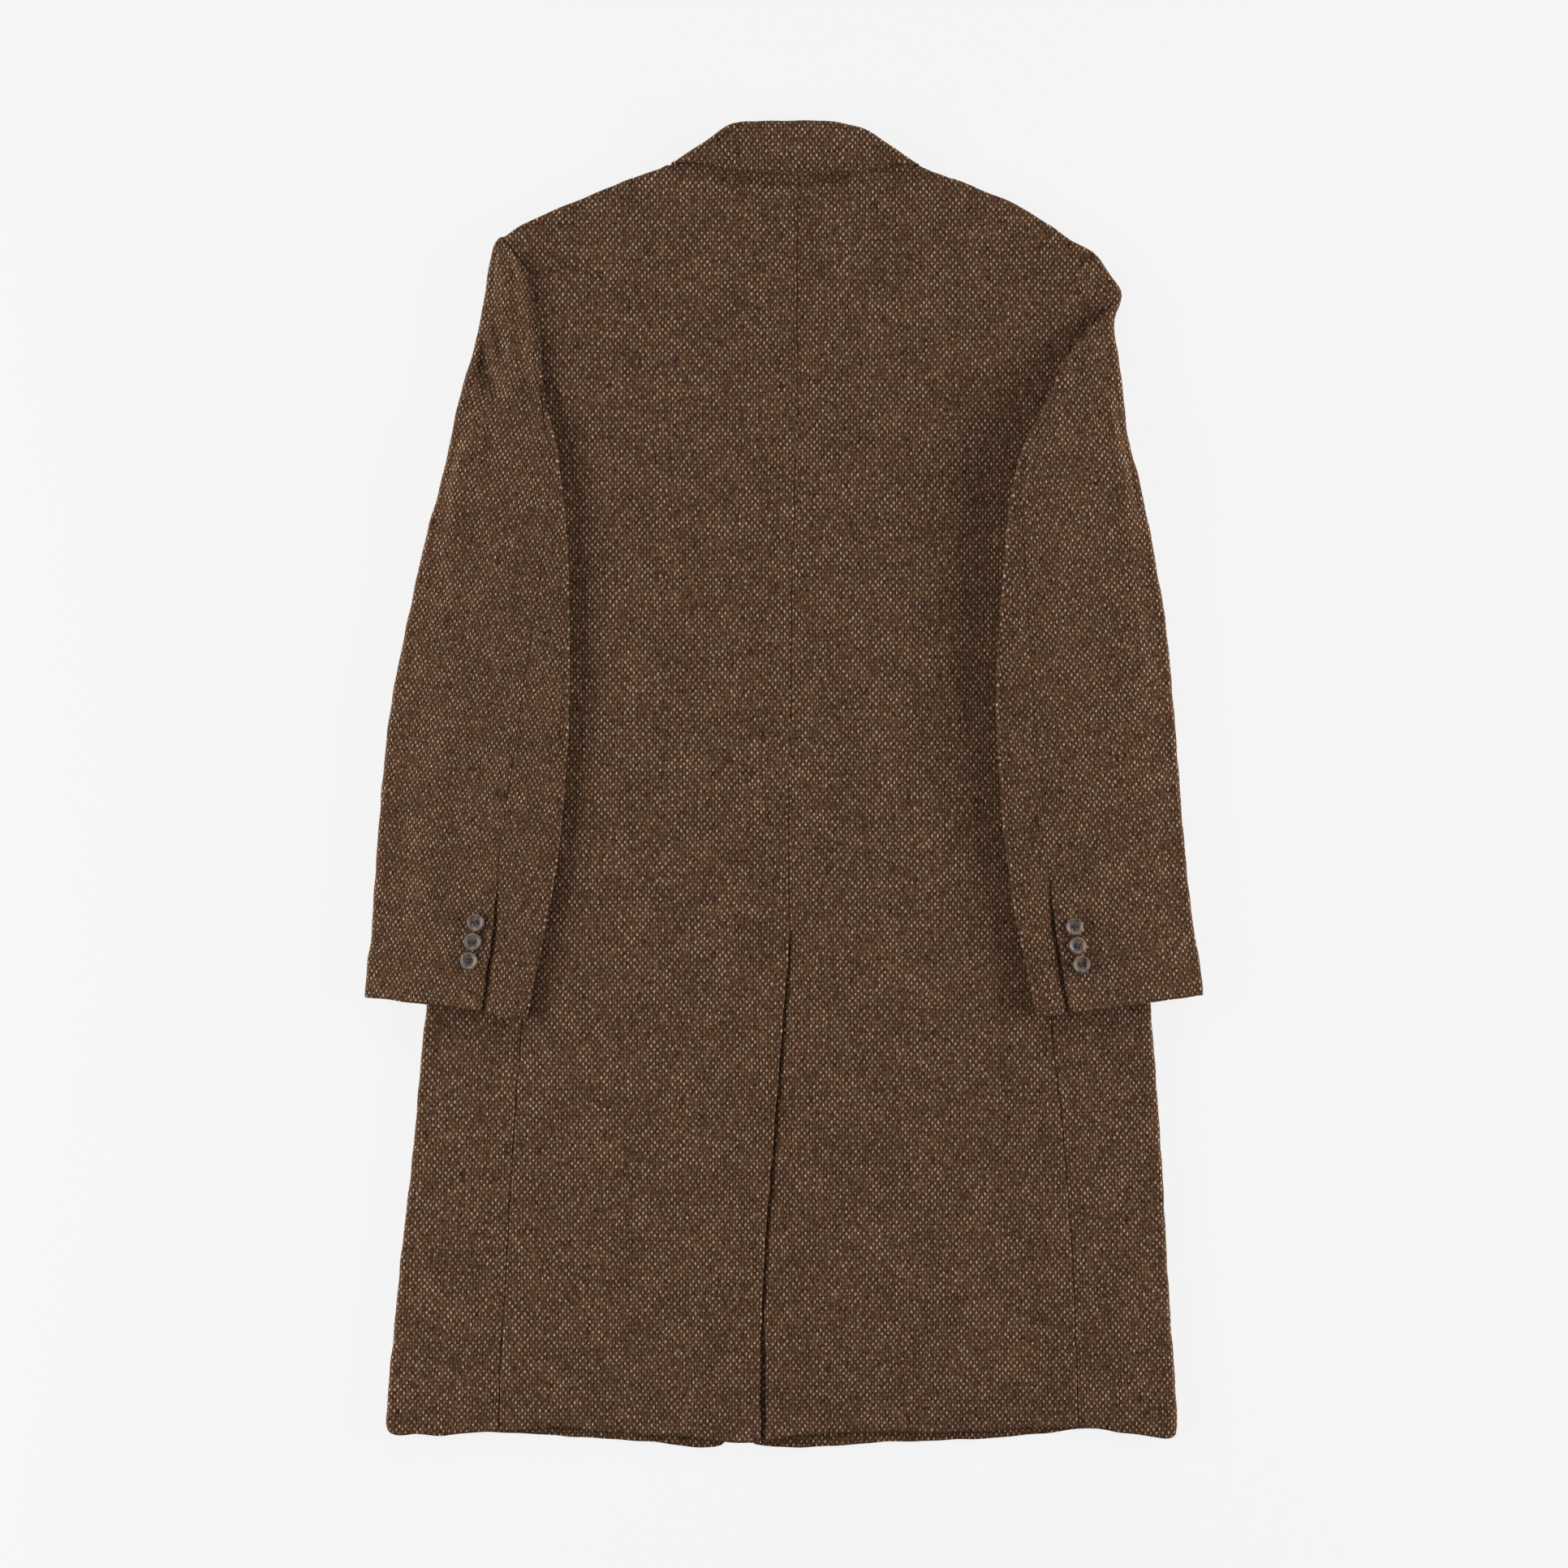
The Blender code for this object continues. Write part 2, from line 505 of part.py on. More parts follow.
def front_panel(name, side, top_edge, armhole, fold, front_edge, lapel, hem, parent):
    """Front on the floor: raised where it lies on its lapel, turned up at the shoulder."""
    radius = BODY_THICK / 2
    lip_x = LEFT_LIP if side < 0 else RIGHT_LIP
    seam_inset = SIDE_SEAM_INSET + FRONT_SEAM_GAP
    corner_drop = fold["drop"][0] - underarm_slope(armhole, fold) * seam_inset
    outer_edge = {
        "drop": np.concatenate([armhole["drop"], [corner_drop + UNDERARM_GAP], fold["drop"][1:]]),
        "x": np.concatenate([armhole["x"] - side * ARMHOLE_GAP, fold["x"] - side * seam_inset]),
    }
    order = (-1, 0) if side < 0 else (0, -1)
    inner_end, outer_end = order
    top_x = (top_edge["x"][inner_end], top_edge["x"][outer_end])
    hem_x = (hem["x"][inner_end], hem["x"][outer_end])

    def top(u):
        x = mix(top_x[0], top_x[1], u)
        return x, drop_at(top_edge, x)

    def bottom(u):
        x = mix(hem_x[0], hem_x[1], u)
        return x, drop_at(hem, x)

    def inner(v):
        drop = mix(top_edge["drop"][inner_end], hem["drop"][inner_end], v)
        return x_at(front_edge, drop), drop

    def outer(v):
        drop = mix(top_edge["drop"][outer_end], hem["drop"][outer_end], v)
        return x_at(outer_edge, drop), drop

    def surface(u, v):
        down, turned = shoulder_turn(v, radius)
        x, drop = patch(top, bottom, inner, outer, u, down)
        past = side * (x - x_at(lapel, drop)) - smooth(LAPEL_MARGIN["drop"], LAPEL_MARGIN["width"], drop)
        below = (drop - LAPEL_FADE[0]) / (LAPEL_FADE[1] - LAPEL_FADE[0])
        raised = LAPEL_LIFT * (1 - ease(past / LAPEL_FEATHER)) * (1 - ease(below))
        shoulder_part = side * (mix(top_x[0], top_x[1], u) - lip_x) > 0
        z = np.where(shoulder_part, turned - SEAM_GAP / 2 * (v <= 0), 0) + raised
        return np.array([x, drop, z])

    columns = stretches((0.02, 1), (0.5, 6), (1, 4))
    rows = stretches((SHOULDER_LIP, 3), (0.15, 5), (0.3, 3), (1, 10))
    return wall(name, surface, columns, rows, side, parent)


def lapel_leaf(name, side, front_edge, lapel, parent):
    """Lapel turned back under its front, from the gorge to where the roll line ends."""

    def surface(u, v):
        roll_drop = mix(LAPEL_TOP, LAPEL_END, v)
        outer_drop = mix(LAPEL_POINT, LAPEL_END, v)
        roll = x_at(front_edge, roll_drop) + side * ROLL_GAP
        x = mix(roll, x_at(lapel, outer_drop), u)
        return np.array([x, mix(roll_drop, outer_drop, u), np.zeros_like(x)])

    return wall(name, surface, np.linspace(0, 1, 5), np.linspace(0, 1, 10), side, parent)


def outline(edge, along):
    return smooth(edge["along"], edge["x"], along), smooth(edge["along"], edge["drop"], along)


def collar_back(parent):
    """Fall of the collar over the back of the neck, turned down along its roll and at the shoulders."""
    share = 0.3

    def surface(u, v):
        start = outline(COLLAR_OUTLINE, u)
        end = outline(COLLAR_EDGE, u)
        width = np.hypot(end[0] - start[0], end[1] - start[1])
        radius = np.minimum(COLLAR_ROLL, 0.6 * width)
        inset, turned = lip(v, share, 1.0)
        down = np.where(v < share, radius * inset, mix(radius, width, (v - share) / (1 - share))) / width
        crown = mix(COLLAR_ROLL_TOP, COLLAR_EDGE_TOP, ease(down))
        z = crown - turned * (crown - COLLAR_MID - SEAM_GAP / 2)
        return np.array([mix(start[0], end[0], down), mix(start[1], end[1], down), z])

    return wall("collar_back", surface, np.linspace(0, 1, 19), stretches((share, 4), (1, 3)), -1, parent)


def collar_front(name, side, along, lapel, front_edge, parent):
    """End of the collar that turns round the shoulder and lies flat under the front of the neck."""
    share = 0.2

    def surface(u, v):
        start = outline(COLLAR_OUTLINE, mix(along[0], along[1], u))
        inset, turned = lip(v, share, 1.0)
        corner = x_at(lapel, COLLAR_FRONT_DROP) - side * ROLL_GAP
        roll = x_at(front_edge, COLLAR_FRONT_DROP) + side * ROLL_GAP
        far = (mix(corner, roll, u), COLLAR_FRONT_DROP)
        width = np.hypot(far[0] - start[0], far[1] - start[1])
        flat = mix(COLLAR_ROLL, width, (v - share) / (1 - share))
        down = np.where(v < share, COLLAR_ROLL * inset, flat) / width
        z = turned * (COLLAR_MID - SEAM_GAP / 2)
        return np.array([mix(start[0], far[0], down), mix(start[1], far[1], down), z])

    return wall(name, surface, np.linspace(0, 1, 7), stretches((share, 4), (1, 3)), -side, parent)


def collar_stand(parent):
    """Stand between the neck seam and the roll, hidden under the fall."""
    sides = table("drop left right", (7.2, -30, 45), (40.6, -88, 106))

    def surface(u, v):
        left = mix(sides["left"][0], sides["left"][1], v)
        right = mix(sides["right"][0], sides["right"][1], v)
        x = mix(left, right, u)
        neck = np.where(x < CENTRE["x"][0], drop_at(LEFT_SHOULDER, x), drop_at(RIGHT_SHOULDER, x)) - ROLL_GAP
        return np.array([x, mix(sides["drop"][0], neck, v), np.full_like(x, BODY_THICK)])

    return wall("collar_stand", surface, np.linspace(0, 1, 11), np.linspace(0, 1, 3), -1, parent)


def sleeve_line(rows, v, first):
    """Interpolated section line of a sleeve at v from 0, at row number first, to 1 at the cuff."""
    number = np.arange(len(rows["seam_drop"]), dtype=float)
    at = mix(first, number[-1], v)
    return {column: smooth(number, rows[column], at) for column in rows}


def sleeve_rows(rows, first):
    """Sample positions along a sleeve: two steps a section line at the head, more on the long ones."""
    gaps = np.diff(rows["outer_drop"][first:])
    ends = np.arange(1, len(gaps) + 1) / len(gaps)
    return stretches(*[(end, max(1, round(gap / 30))) for end, gap in zip(ends, gaps)])


def sleeve_crest(side, line, seam_x, outer_x, under_x):
    """Where a sleeve's upper face starts to fall to the outer fold, above the seam underneath."""
    share = (under_x - seam_x) / (outer_x - side * SLEEVE_THICK / 2 - seam_x)
    return np.clip(share, 0.25, 0.9), np.minimum(line["inner_top"], SHELF + SLEEVE_THICK)


def top_sleeve(name, side, rows, seam, outer, under, parent):
    """Upper sleeve piece: armhole or back seam, over the outer fold, to the seam underneath."""

    def surface(u, v):
        line = sleeve_line(rows, v, 0)
        start = (x_at(seam, line["seam_drop"]) + side * SEAM_GAP / 2, line["seam_drop"], line["inner_top"])
        fold = (x_at(outer, line["outer_drop"]), line["outer_drop"], line["outer_top"], line["outer_low"])
        end = (x_at(under, line["under_drop"]) + side * SEAM_GAP / 2, line["under_drop"], line["under_low"])
        return wrap(u, start, fold, end, side, crest=sleeve_crest(side, line, start[0], fold[0], end[0]))

    columns = stretches((0.46, 6), (0.66, 6), (1, 3))
    return wall(name, surface, columns, sleeve_rows(rows, 0), -side, parent, across=True)


def under_sleeve(name, side, rows, first, seam, inner, under, parent):
    """Lower sleeve piece: back seam, round the inner fold, to the seam underneath, lying on the body."""

    def surface(u, v):
        line = sleeve_line(rows, v, first)
        seam_x = x_at(seam, line["seam_drop"]) - side * SLEEVE_SEAM_GAP
        start = (seam_x, line["seam_drop"] - SLEEVE_SEAM_GAP, line["inner_top"])
        fold = (x_at(inner, line["inner_drop"]), line["inner_drop"], line["inner_top"], line["inner_low"])
        low = np.maximum(line["under_low"], SHELF)
        end = (x_at(under, line["under_drop"]) - side * SEAM_GAP / 2, line["under_drop"], low)
        return wrap(u, start, fold, end, -side, (0.3, 0.55))

    columns = stretches((0.3, 2), (0.55, 6), (1, 4))
    return wall(name, surface, columns, sleeve_rows(rows, first), side, parent, across=True)


def sleeve_top_at(rows, seam, under, x, drop):
    """Height of a sleeve's upper face between its back seam and its crest, near the cuff."""
    inner_top = smooth(rows["seam_drop"], rows["inner_top"], drop)
    share = (x - x_at(seam, drop)) / (x_at(under, drop) - x_at(seam, drop))
    return mix(inner_top, SHELF + SLEEVE_THICK, ease(share))


def cuff_button(name, x, drop, z, parent):
    """Four-hole button with a raised rim and a dished middle."""
    bm = bmesh.new()
    outline_points = zip(BUTTON_PROFILE["radius"], BUTTON_PROFILE["z"])
    profile = [bm.verts.new((radius * MM, 0, height * MM)) for radius, height in outline_points]
    edges = [bm.edges.new(pair) for pair in zip(profile, profile[1:])]
    whole_turn = {"cent": (0, 0, 0), "axis": (0, 0, 1), "angle": 2 * math.pi, "use_merge": True}
    bmesh.ops.spin(bm, geom=profile + edges, steps=BUTTON_STEPS, **whole_turn)
    bmesh.ops.remove_doubles(bm, verts=bm.verts, dist=1e-6)
    made = finish(bm, name, HORN, 0.35, parent)
    made.location = (x * MM, (LENGTH / 2 - drop) * MM, z * MM)
    cutter = bmesh.new()
    for quarter in range(4):
        turn = math.pi / 4 + quarter * math.pi / 2
        hole = bmesh.ops.create_cone(
            cutter, cap_ends=True, segments=6, radius1=HOLE_RADIUS * MM, radius2=HOLE_RADIUS * MM, depth=0.01
        )
        shift = (HOLE_SPACING * math.cos(turn) * MM, HOLE_SPACING * math.sin(turn) * MM, 0)
        bmesh.ops.translate(cutter, verts=hole["verts"], vec=shift)
    tool = finish(cutter, name + "_holes", HORN, 0.35, parent)
    tool.location = made.location
    tool.hide_render = True
    tool.display_type = "WIRE"
    cut = made.modifiers.new("holes", "BOOLEAN")
    cut.operation = "DIFFERENCE"
    cut.object = tool
    return made


def main():
    for old in list(bpy.data.objects):
        bpy.data.objects.remove(old, do_unlink=True)
    coat = bpy.data.objects.new("coat", None)
    bpy.context.scene.collection.objects.link(coat)

    left_outer = armhole_then_seam(LEFT_ARMHOLE, LEFT_BACK_SEAM)
    right_outer = armhole_then_seam(RIGHT_ARMHOLE, RIGHT_BACK_SEAM)
    back_panel("back_left", -1, LEFT_SHOULDER, LEFT_ARMHOLE, left_outer, LEFT_BACK_HEM, coat)
    back_panel("back_right", 1, RIGHT_SHOULDER, RIGHT_ARMHOLE, right_outer, RIGHT_BACK_HEM, coat)
    vent_underlap(coat)
    side_body("side_left", -1, LEFT_ARMHOLE, left_outer, LEFT_FOLD, (1113.7, 1117, 1118), coat)
    side_body("side_right", 1, RIGHT_ARMHOLE, right_outer, RIGHT_FOLD, (1109.5, 1120, 1115), coat)
    left_edges = (LEFT_FRONT_TOP, LEFT_ARMHOLE, LEFT_FOLD, LEFT_FRONT_EDGE, LEFT_LAPEL, LEFT_FRONT_HEM)
    right_edges = (RIGHT_FRONT_TOP, RIGHT_ARMHOLE, RIGHT_FOLD, RIGHT_FRONT_EDGE, RIGHT_LAPEL, RIGHT_FRONT_HEM)
    front_panel("front_left", -1, *left_edges, coat)
    front_panel("front_right", 1, *right_edges, coat)
    lapel_leaf("lapel_left", -1, LEFT_FRONT_EDGE, LEFT_LAPEL, coat)
    lapel_leaf("lapel_right", 1, RIGHT_FRONT_EDGE, RIGHT_LAPEL, coat)
    collar_back(coat)
    collar_front("collar_front_left", -1, (0.02, COLLAR_END_LEFT), LEFT_LAPEL, LEFT_FRONT_EDGE, coat)
    collar_front("collar_front_right", 1, (0.98, COLLAR_END_RIGHT), RIGHT_LAPEL, RIGHT_FRONT_EDGE, coat)
    collar_stand(coat)
    top_sleeve("top_sleeve_left", -1, LEFT_SLEEVE, LEFT_SEAM, LEFT_OUTER, LEFT_UNDER_SEAM, coat)
    top_sleeve("top_sleeve_right", 1, RIGHT_SLEEVE, RIGHT_SEAM, RIGHT_OUTER, RIGHT_UNDER_SEAM, coat)
    left_lines = (LEFT_SLEEVE, LEFT_SLEEVE_TUBE, LEFT_SEAM, LEFT_INNER, LEFT_UNDER_SEAM)
    right_lines = (RIGHT_SLEEVE, RIGHT_SLEEVE_TUBE, RIGHT_SEAM, RIGHT_INNER, RIGHT_UNDER_SEAM)
    under_sleeve("under_sleeve_left", -1, *left_lines, coat)
    under_sleeve("under_sleeve_right", 1, *right_lines, coat)
    sleeves = (
        ("left", LEFT_BUTTONS, LEFT_SLEEVE, LEFT_SEAM, LEFT_UNDER_SEAM),
        ("right", RIGHT_BUTTONS, RIGHT_SLEEVE, RIGHT_SEAM, RIGHT_UNDER_SEAM),
    )
    for word, buttons, rows, seam, under in sleeves:
        for number, (x, drop) in enumerate(zip(buttons["x"], buttons["drop"]), 1):
            z = sleeve_top_at(rows, seam, under, x, drop) + BUTTON_CLEARANCE
            cuff_button(f"cuff_button_{word}_{number}", x, drop, z, coat)


main()
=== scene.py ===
"""Looks of the tweed overcoat: cloth shells, weave, buttons, wool hairs, floor, light and camera.

Lengths in the tables are millimetres, as in the model: x runs to the right of the coat's middle, drop
runs down from the top of the collar, z is the height above the floor. Left and right are those of
someone looking down on the coat's back.
"""

import json
import math

import bmesh
import bpy
import numpy as np
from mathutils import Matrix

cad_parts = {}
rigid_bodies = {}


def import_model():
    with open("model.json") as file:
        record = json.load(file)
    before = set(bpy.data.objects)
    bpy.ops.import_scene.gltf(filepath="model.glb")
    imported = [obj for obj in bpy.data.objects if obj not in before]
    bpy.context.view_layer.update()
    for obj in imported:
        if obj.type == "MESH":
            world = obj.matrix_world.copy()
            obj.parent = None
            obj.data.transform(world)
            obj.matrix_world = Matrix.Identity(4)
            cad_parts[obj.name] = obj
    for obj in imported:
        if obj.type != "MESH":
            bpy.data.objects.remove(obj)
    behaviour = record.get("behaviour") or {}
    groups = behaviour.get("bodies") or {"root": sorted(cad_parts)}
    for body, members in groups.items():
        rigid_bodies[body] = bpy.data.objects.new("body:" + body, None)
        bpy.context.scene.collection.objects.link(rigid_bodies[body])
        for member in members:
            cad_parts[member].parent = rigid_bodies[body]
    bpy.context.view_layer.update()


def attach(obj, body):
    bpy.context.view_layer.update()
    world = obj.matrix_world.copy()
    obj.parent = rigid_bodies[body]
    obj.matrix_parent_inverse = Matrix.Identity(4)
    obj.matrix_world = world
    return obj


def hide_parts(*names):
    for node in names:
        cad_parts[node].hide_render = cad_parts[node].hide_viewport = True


MM = 0.001
SEED = 7

# Sizes of the coat, as in the model where the looks don't need another
LENGTH = 1128.2  # top of the collar to the lowest point of the hem
WALL = 2.4  # tweed with its interlining and lining
BODY_THICK = 8.6  # front and back lying on each other
SLEEVE_THICK = 8.6
SEAM_GAP = -0.3  # edges that are sewn together lap this far, so no light passes
ARMHOLE_GAP = 2.3  # between a front and its sleeve
FRONT_SEAM_GAP = 1.2
SLEEVE_SEAM_GAP = -0.15
UNDERARM_GAP = 1.2  # below the sleeve at the underarm
SHELF = BODY_THICK + 0.6  # underside of a sleeve that lies on the body
LAPEL_LIFT = WALL + 0.4  # a front lies this high where it lies on its lapel
LAPEL_FEATHER = 12.0  # width over which a front comes down off its lapel
SIDE_SEAM_INSET = 38.0  # front side seam, in from the side fold
VENT_TOP = 690.0
VENT_DIP = 2.9  # the right back goes this far down to pass under the left
VENT_DIP_WIDTH = 10.0
VENT_UNDERLAP = 42.0
VENT_EASE = 20.0  # the dip starts and ends this far above and below the vent's top
VENT_CLEAR = -1.6  # the right back's edge goes this far under the left's at the vent
UNDERLAP_START = 34.0  # below the vent's top
UNDERLAP_HEM = 1119.5
UNDERLAP_CLEAR = 2.4  # left of the vent's line
LAPEL_TOP = 106.5  # the lapel's top corner at the roll line
LAPEL_POINT = 122.0
LAPEL_END = 392.0  # where the roll line runs out
LAPEL_FADE = (440.0, 480.0)  # below the lapel the front comes down to the floor
ROLL_GAP = 0.6  # between a front's edge and the pieces turned under it
SHOULDER_LIP = 0.02  # share of a panel's rows that turn at the shoulder
PANEL_LENGTH = 1068.0  # of a front or back, shoulder to hem
LEFT_NECK = -103.0  # x where the neck ends and the shoulder seam starts
RIGHT_NECK = 119.0
LEFT_LIP = -121.0  # x where a front starts to turn up at the shoulder
RIGHT_LIP = 136.0
COLLAR_ROLL = 6.2  # radius of the collar's turned edge
COLLAR_MID = 6.3  # height at which the collar's back and front ends meet
COLLAR_EDGE_TOP = 12.6
COLLAR_ROLL_TOP = 13.6
COLLAR_TIP = 0.1  # share of the collar's length over which its ends come down to the shoulder
COLLAR_TIP_DROP = 2.6
BUTTON_CLEARANCE = 0.45  # between a button and its cuff
BUTTON_SEGMENTS = 48
BUTTON_TURN = 0.5  # radians from one button to the next
HOLE_RADIUS = 0.9
HOLE_SPACING = 1.75
HOLE_SEGMENTS = 20
HOLE_CUT = 20.0  # length of the tool that cuts a hole

# Sizes of the looks
GRID = 6.0  # spacing of the points on a shell
FINE_GRID = 5.0  # across the sleeves
COLLAR_GRID = 4.0
EDGE_STEPS = np.array([0.0, 0.4, 0.9, 1.6, 2.8, 4.4])  # points close to a shell's edge
OUTER_TURN = (0.46, 0.66)  # shares of a piece's width between which it turns round an outer fold
OUTER_BEND = 0.45  # share from which the points across an outer fold are closer
INNER_TURN = (0.3, 0.55)
SLEEVE_WALL = 1.6  # a sleeve's own cloth, thin enough to fold flat
SEAM_SPREAD = 2.2  # width of a seam's valley for each millimetre of its depth
SEAM_DEPTH = 1.2  # of a pressed seam's valley
HEM_RADIUS = 1.5
FRONT_EDGE = 1.2  # depth of a front's edge, and radius of its hem and of the collar's edge
LEAF_EDGE = 1.0  # the same for lapels and collar ends
EDGE_THINNING = 0.4  # a wall gets thinner by this share of what its edge has dropped
SIDE_SEAM_DEPTH = (0.3, 1.6)  # at the armhole and down the side
SLEEVE_SEAM_DEPTH = (0.25, 0.9)  # at the armhole and down the sleeve
SLEEVE_START = 200.0  # drop below which a sleeve's seam gets deeper
SEAM_CHANGE = 60.0  # length over which a seam's depth changes
CUFF_VENT = (620.0, 690.0)  # drops between which a cuff's vent opens
CUFF_VENT_DEPTH = 1.0
CUFF_VENT_WIDTH = 9.0
CUFF_VENT_LIFT = 1.3  # of its upper edge
CUFF_VENT_SINK = 0.9  # of its lower edge
ARMHOLE_END = (190.0, 220.0)  # drops between which a sleeve's top leaves the body's creases
ARMHOLE_BLEND = 10.0  # width over which it does so away from the armhole
HEM_SAG = 2.6
HEM_SAG_START = 1060.0
HEM_SAG_CLEAR = (15.0, 75.0)  # distances from the vent between which the sag sets in
CREASE_START = 30.0  # below the shoulder, where the creases have their full depth
VENT_EDGE_WIDTH = 14.0  # width of the left back's standing vent edge
VENT_SHUT = 2.0  # the vent is this wide where its edges no longer lap
VENT_OPEN = 3.0  # and this wide where the right back's edge has come up
VENT_RISE = 0.8  # share of the dip that is lost there
UNDERLAP_REACH = 4.5  # the underlap goes this far right of the open vent's line
UNDERLAP_LIFT = -0.2  # from the right back's dipped edge
SIDE_FADE = 0.34  # share of a side body's width from which its creases fade towards the fold
TOP_FADE = 0.39  # the same for an upper sleeve
UNDER_FADE = (0.22, 0.32)  # shares between which a lower sleeve's creases fade
FALL_SHARE = 0.6  # a fold's fall takes at most this share of the way to the seam
CREST_SHARE = (0.25, 0.9)  # limits of where a sleeve's crest lies between seam and fold
COLLAR_ROLL_SHARE = 0.6  # the collar's roll takes at most this share of its fall
COLLAR_UNEVEN = 0.5
CREASE_FADE = (0.2, 0.3)  # shares of a crease's length where its ends start to fade, and their width
SWAY = 0.4  # unevenness of the outlines
SWAY_X = (61, 43, 33, 25)  # wavelengths
SWAY_DROP = (57, 45, 31, 26)
COLLAR_WAVES = (88, 63, 47)
NECK_FADE = 6.0  # width over which the shoulder's turned edge starts beside the neck
WEAVE_ACROSS = 5.0  # repeat of the barleycorn weave
WEAVE_ALONG = 6.07
SIDE_LEAN = 2.0  # degrees that the side bodies' grain leans outwards
THREAD_RADIUS = 0.24
THREAD_SPACING = 0.3  # of a pair of threads, each way from their middle
THREAD_RISE = 0.5  # above the button, and again for the pair that crosses on top
THREAD_DIP = 1.6  # into the holes
HAIR_COUNT = 16000
HAIR_LENGTH = (0.5, 1.6)
HAIR_RADIUS = 0.06
HAIR_SPREAD = 0.7  # how far hairs stray from straight out of the cloth
STRAY_COUNT = 140
STRAY_LENGTH = (6.0, 13.0)
STRAY_RADIUS = 0.13
STRAY_LIFT = 0.25
STRAY_SLOPE = 0.12
HAIR_SIDES = 3
HAIR_FLOOR = 0.3  # no hair goes lower than this
HEM_HAIR_Y = -530.0  # below this y the edges that face the hem are hairier
HEM_HAIRS = (2.5, 0.3)  # how hairy such edges are below and above it
# Where each piece is cut from the cloth, so that no two show the same flecks
CUT_FROM = {
    "back_left": (0.0, 0.0),
    "back_right": (2.1, 1.4),
    "side": (640.0, 0.7),
    "front": (1100.0, 0.0),
    "lapel": (1600.0, 3.0),
    "collar_back": (2000.0, 2.0),
    "collar_front": (2300.0, 0.0),
    "collar_stand": (2600.0, 0.0),
    "top_sleeve": (3000.0, 0.0),
    "under_sleeve": (3500.0, 0.0),
}
PHOTO_SIZE = 1932  # pixels
PHOTO_SCALE = 0.69  # millimetres a pixel

# Stage, in metres and watts
CAMERA_HEIGHT = 3.2
CAMERA_Y = -0.0003
SENSOR = 36.0  # millimetres
FLOOR_SIZE = 8.0  # each way from the middle
FLOOR_Z = -0.0006
FLOOR_GREY = 0.06
FLOOR_GLOW = 0.851
WORLD_LIGHT = 0.08
SOFTBOXES = (
    ("right_softbox", (2.9, 0.0, 0.74), (2.6, 0.7), 149),
    ("left_softbox", (-2.4, -0.2, 0.82), (2.6, 0.7), 102),
    ("top_softbox", (-0.3, 9.0, 3.0), (4.0, 1.6), 510),
)


def table(columns, *rows):
    """A short table as one array for each named column."""
    return dict(zip(columns.split(), np.array(rows, float).T))


# Plan of the body
CENTRE = table(
    "drop x",
    (34, 13.2), (139, 11.2), (264, 10.4), (388, 7.0), (512, 5.5), (636, 4.3), (684, 4.4), (740, 0.7),
    (795, -3.5), (850, -8.3), (905, -12.4), (960, -16.6), (1000, -18.4), (1123, -18.4),
)  # fmt: skip
LEFT_SHOULDER = table(
    "x drop",
    (-238, 100.9), (-224, 91), (-196, 77.3), (-163, 63.5), (-126, 49.9), (-106, 42.1), (-97, 39.0), (-60, 38),
    (13.2, 34),
)  # fmt: skip
RIGHT_SHOULDER = table(
    "x drop",
    (13.2, 34), (75, 37), (115, 39.4), (121, 42.2), (139, 49.7), (177, 63.5), (206, 77.3), (227, 91),
    (248, 105), (261.5, 112),
)  # fmt: skip
LEFT_ARMHOLE = table(
    "drop x",
    (100.9, -238), (114.5, -228.4), (136.6, -216.7), (157, -212.3), (177, -209), (200, -207.6), (226, -207.5),
)  # fmt: skip
RIGHT_ARMHOLE = table(
    "drop x",
    (112, 261.5), (126, 254.6), (146, 245.8), (165, 243.6), (183, 242.9), (205, 242.5), (226, 242.5),
)  # fmt: skip
LEFT_FOLD = table(
    "drop x",
    (305, -270), (400, -271), (500, -275), (600, -284), (700, -297), (753, -303.6), (871, -314.6),
    (954, -323.6), (1036, -331.9), (1078, -336), (1106, -337.4), (1113, -336), (1117, -331),
)  # fmt: skip
RIGHT_FOLD = table(
    "drop x",
    (305, 282), (400, 284), (500, 288), (600, 294.5), (700, 304.5), (753, 311.5), (871, 319.5),
    (954, 324.3), (1036, 329.8), (1078, 332.6), (1110, 333.6), (1116, 332.5), (1120, 328),
)  # fmt: skip
LEFT_BACK_SEAM = table(
    "drop x",
    (226, -207.5), (300, -203), (400, -201), (500, -203), (600, -208), (700, -216), (781, -223.6),
    (864, -229), (947, -234.3), (1030, -238.7), (1085, -241.5), (1113.7, -242),
)  # fmt: skip
RIGHT_BACK_SEAM = table(
    "drop x",
    (226, 242.5), (300, 236), (400, 229), (500, 224), (600, 222.5), (700, 224), (788, 228.5), (843, 235.3),
    (926, 242.6), (1009, 247), (1064, 248.8), (1109.5, 250),
)  # fmt: skip
LEFT_BACK_HEM = table(
    "x drop",
    (-242, 1113.7), (-221, 1112.3), (-188, 1110), (-155, 1114), (-123, 1116.4), (-78, 1118.8),
    (-51, 1122.5), (-18.4, 1123.3),
)  # fmt: skip
RIGHT_BACK_HEM = table(
    "x drop",
    (-18.4, 1122.8), (0, 1118.8), (24, 1115.7), (72, 1114.7), (120, 1115), (181, 1112.8), (205, 1110.2),
    (250, 1109.5),
)  # fmt: skip
LEFT_SIDE_HEM = (1113.7, 1117, 1118)  # drops at the back seam, the fold and the front seam
RIGHT_SIDE_HEM = (1109.5, 1120, 1115)
LEFT_FRONT_HEM = table(
    "x drop",
    (-299.4, 1118), (-270, 1115.5), (-246, 1115.5), (-200, 1117.8), (-159, 1120.6), (-112, 1123.3),
    (-75, 1128.2), (-56, 1127.2), (-49, 1122.5),
)  # fmt: skip
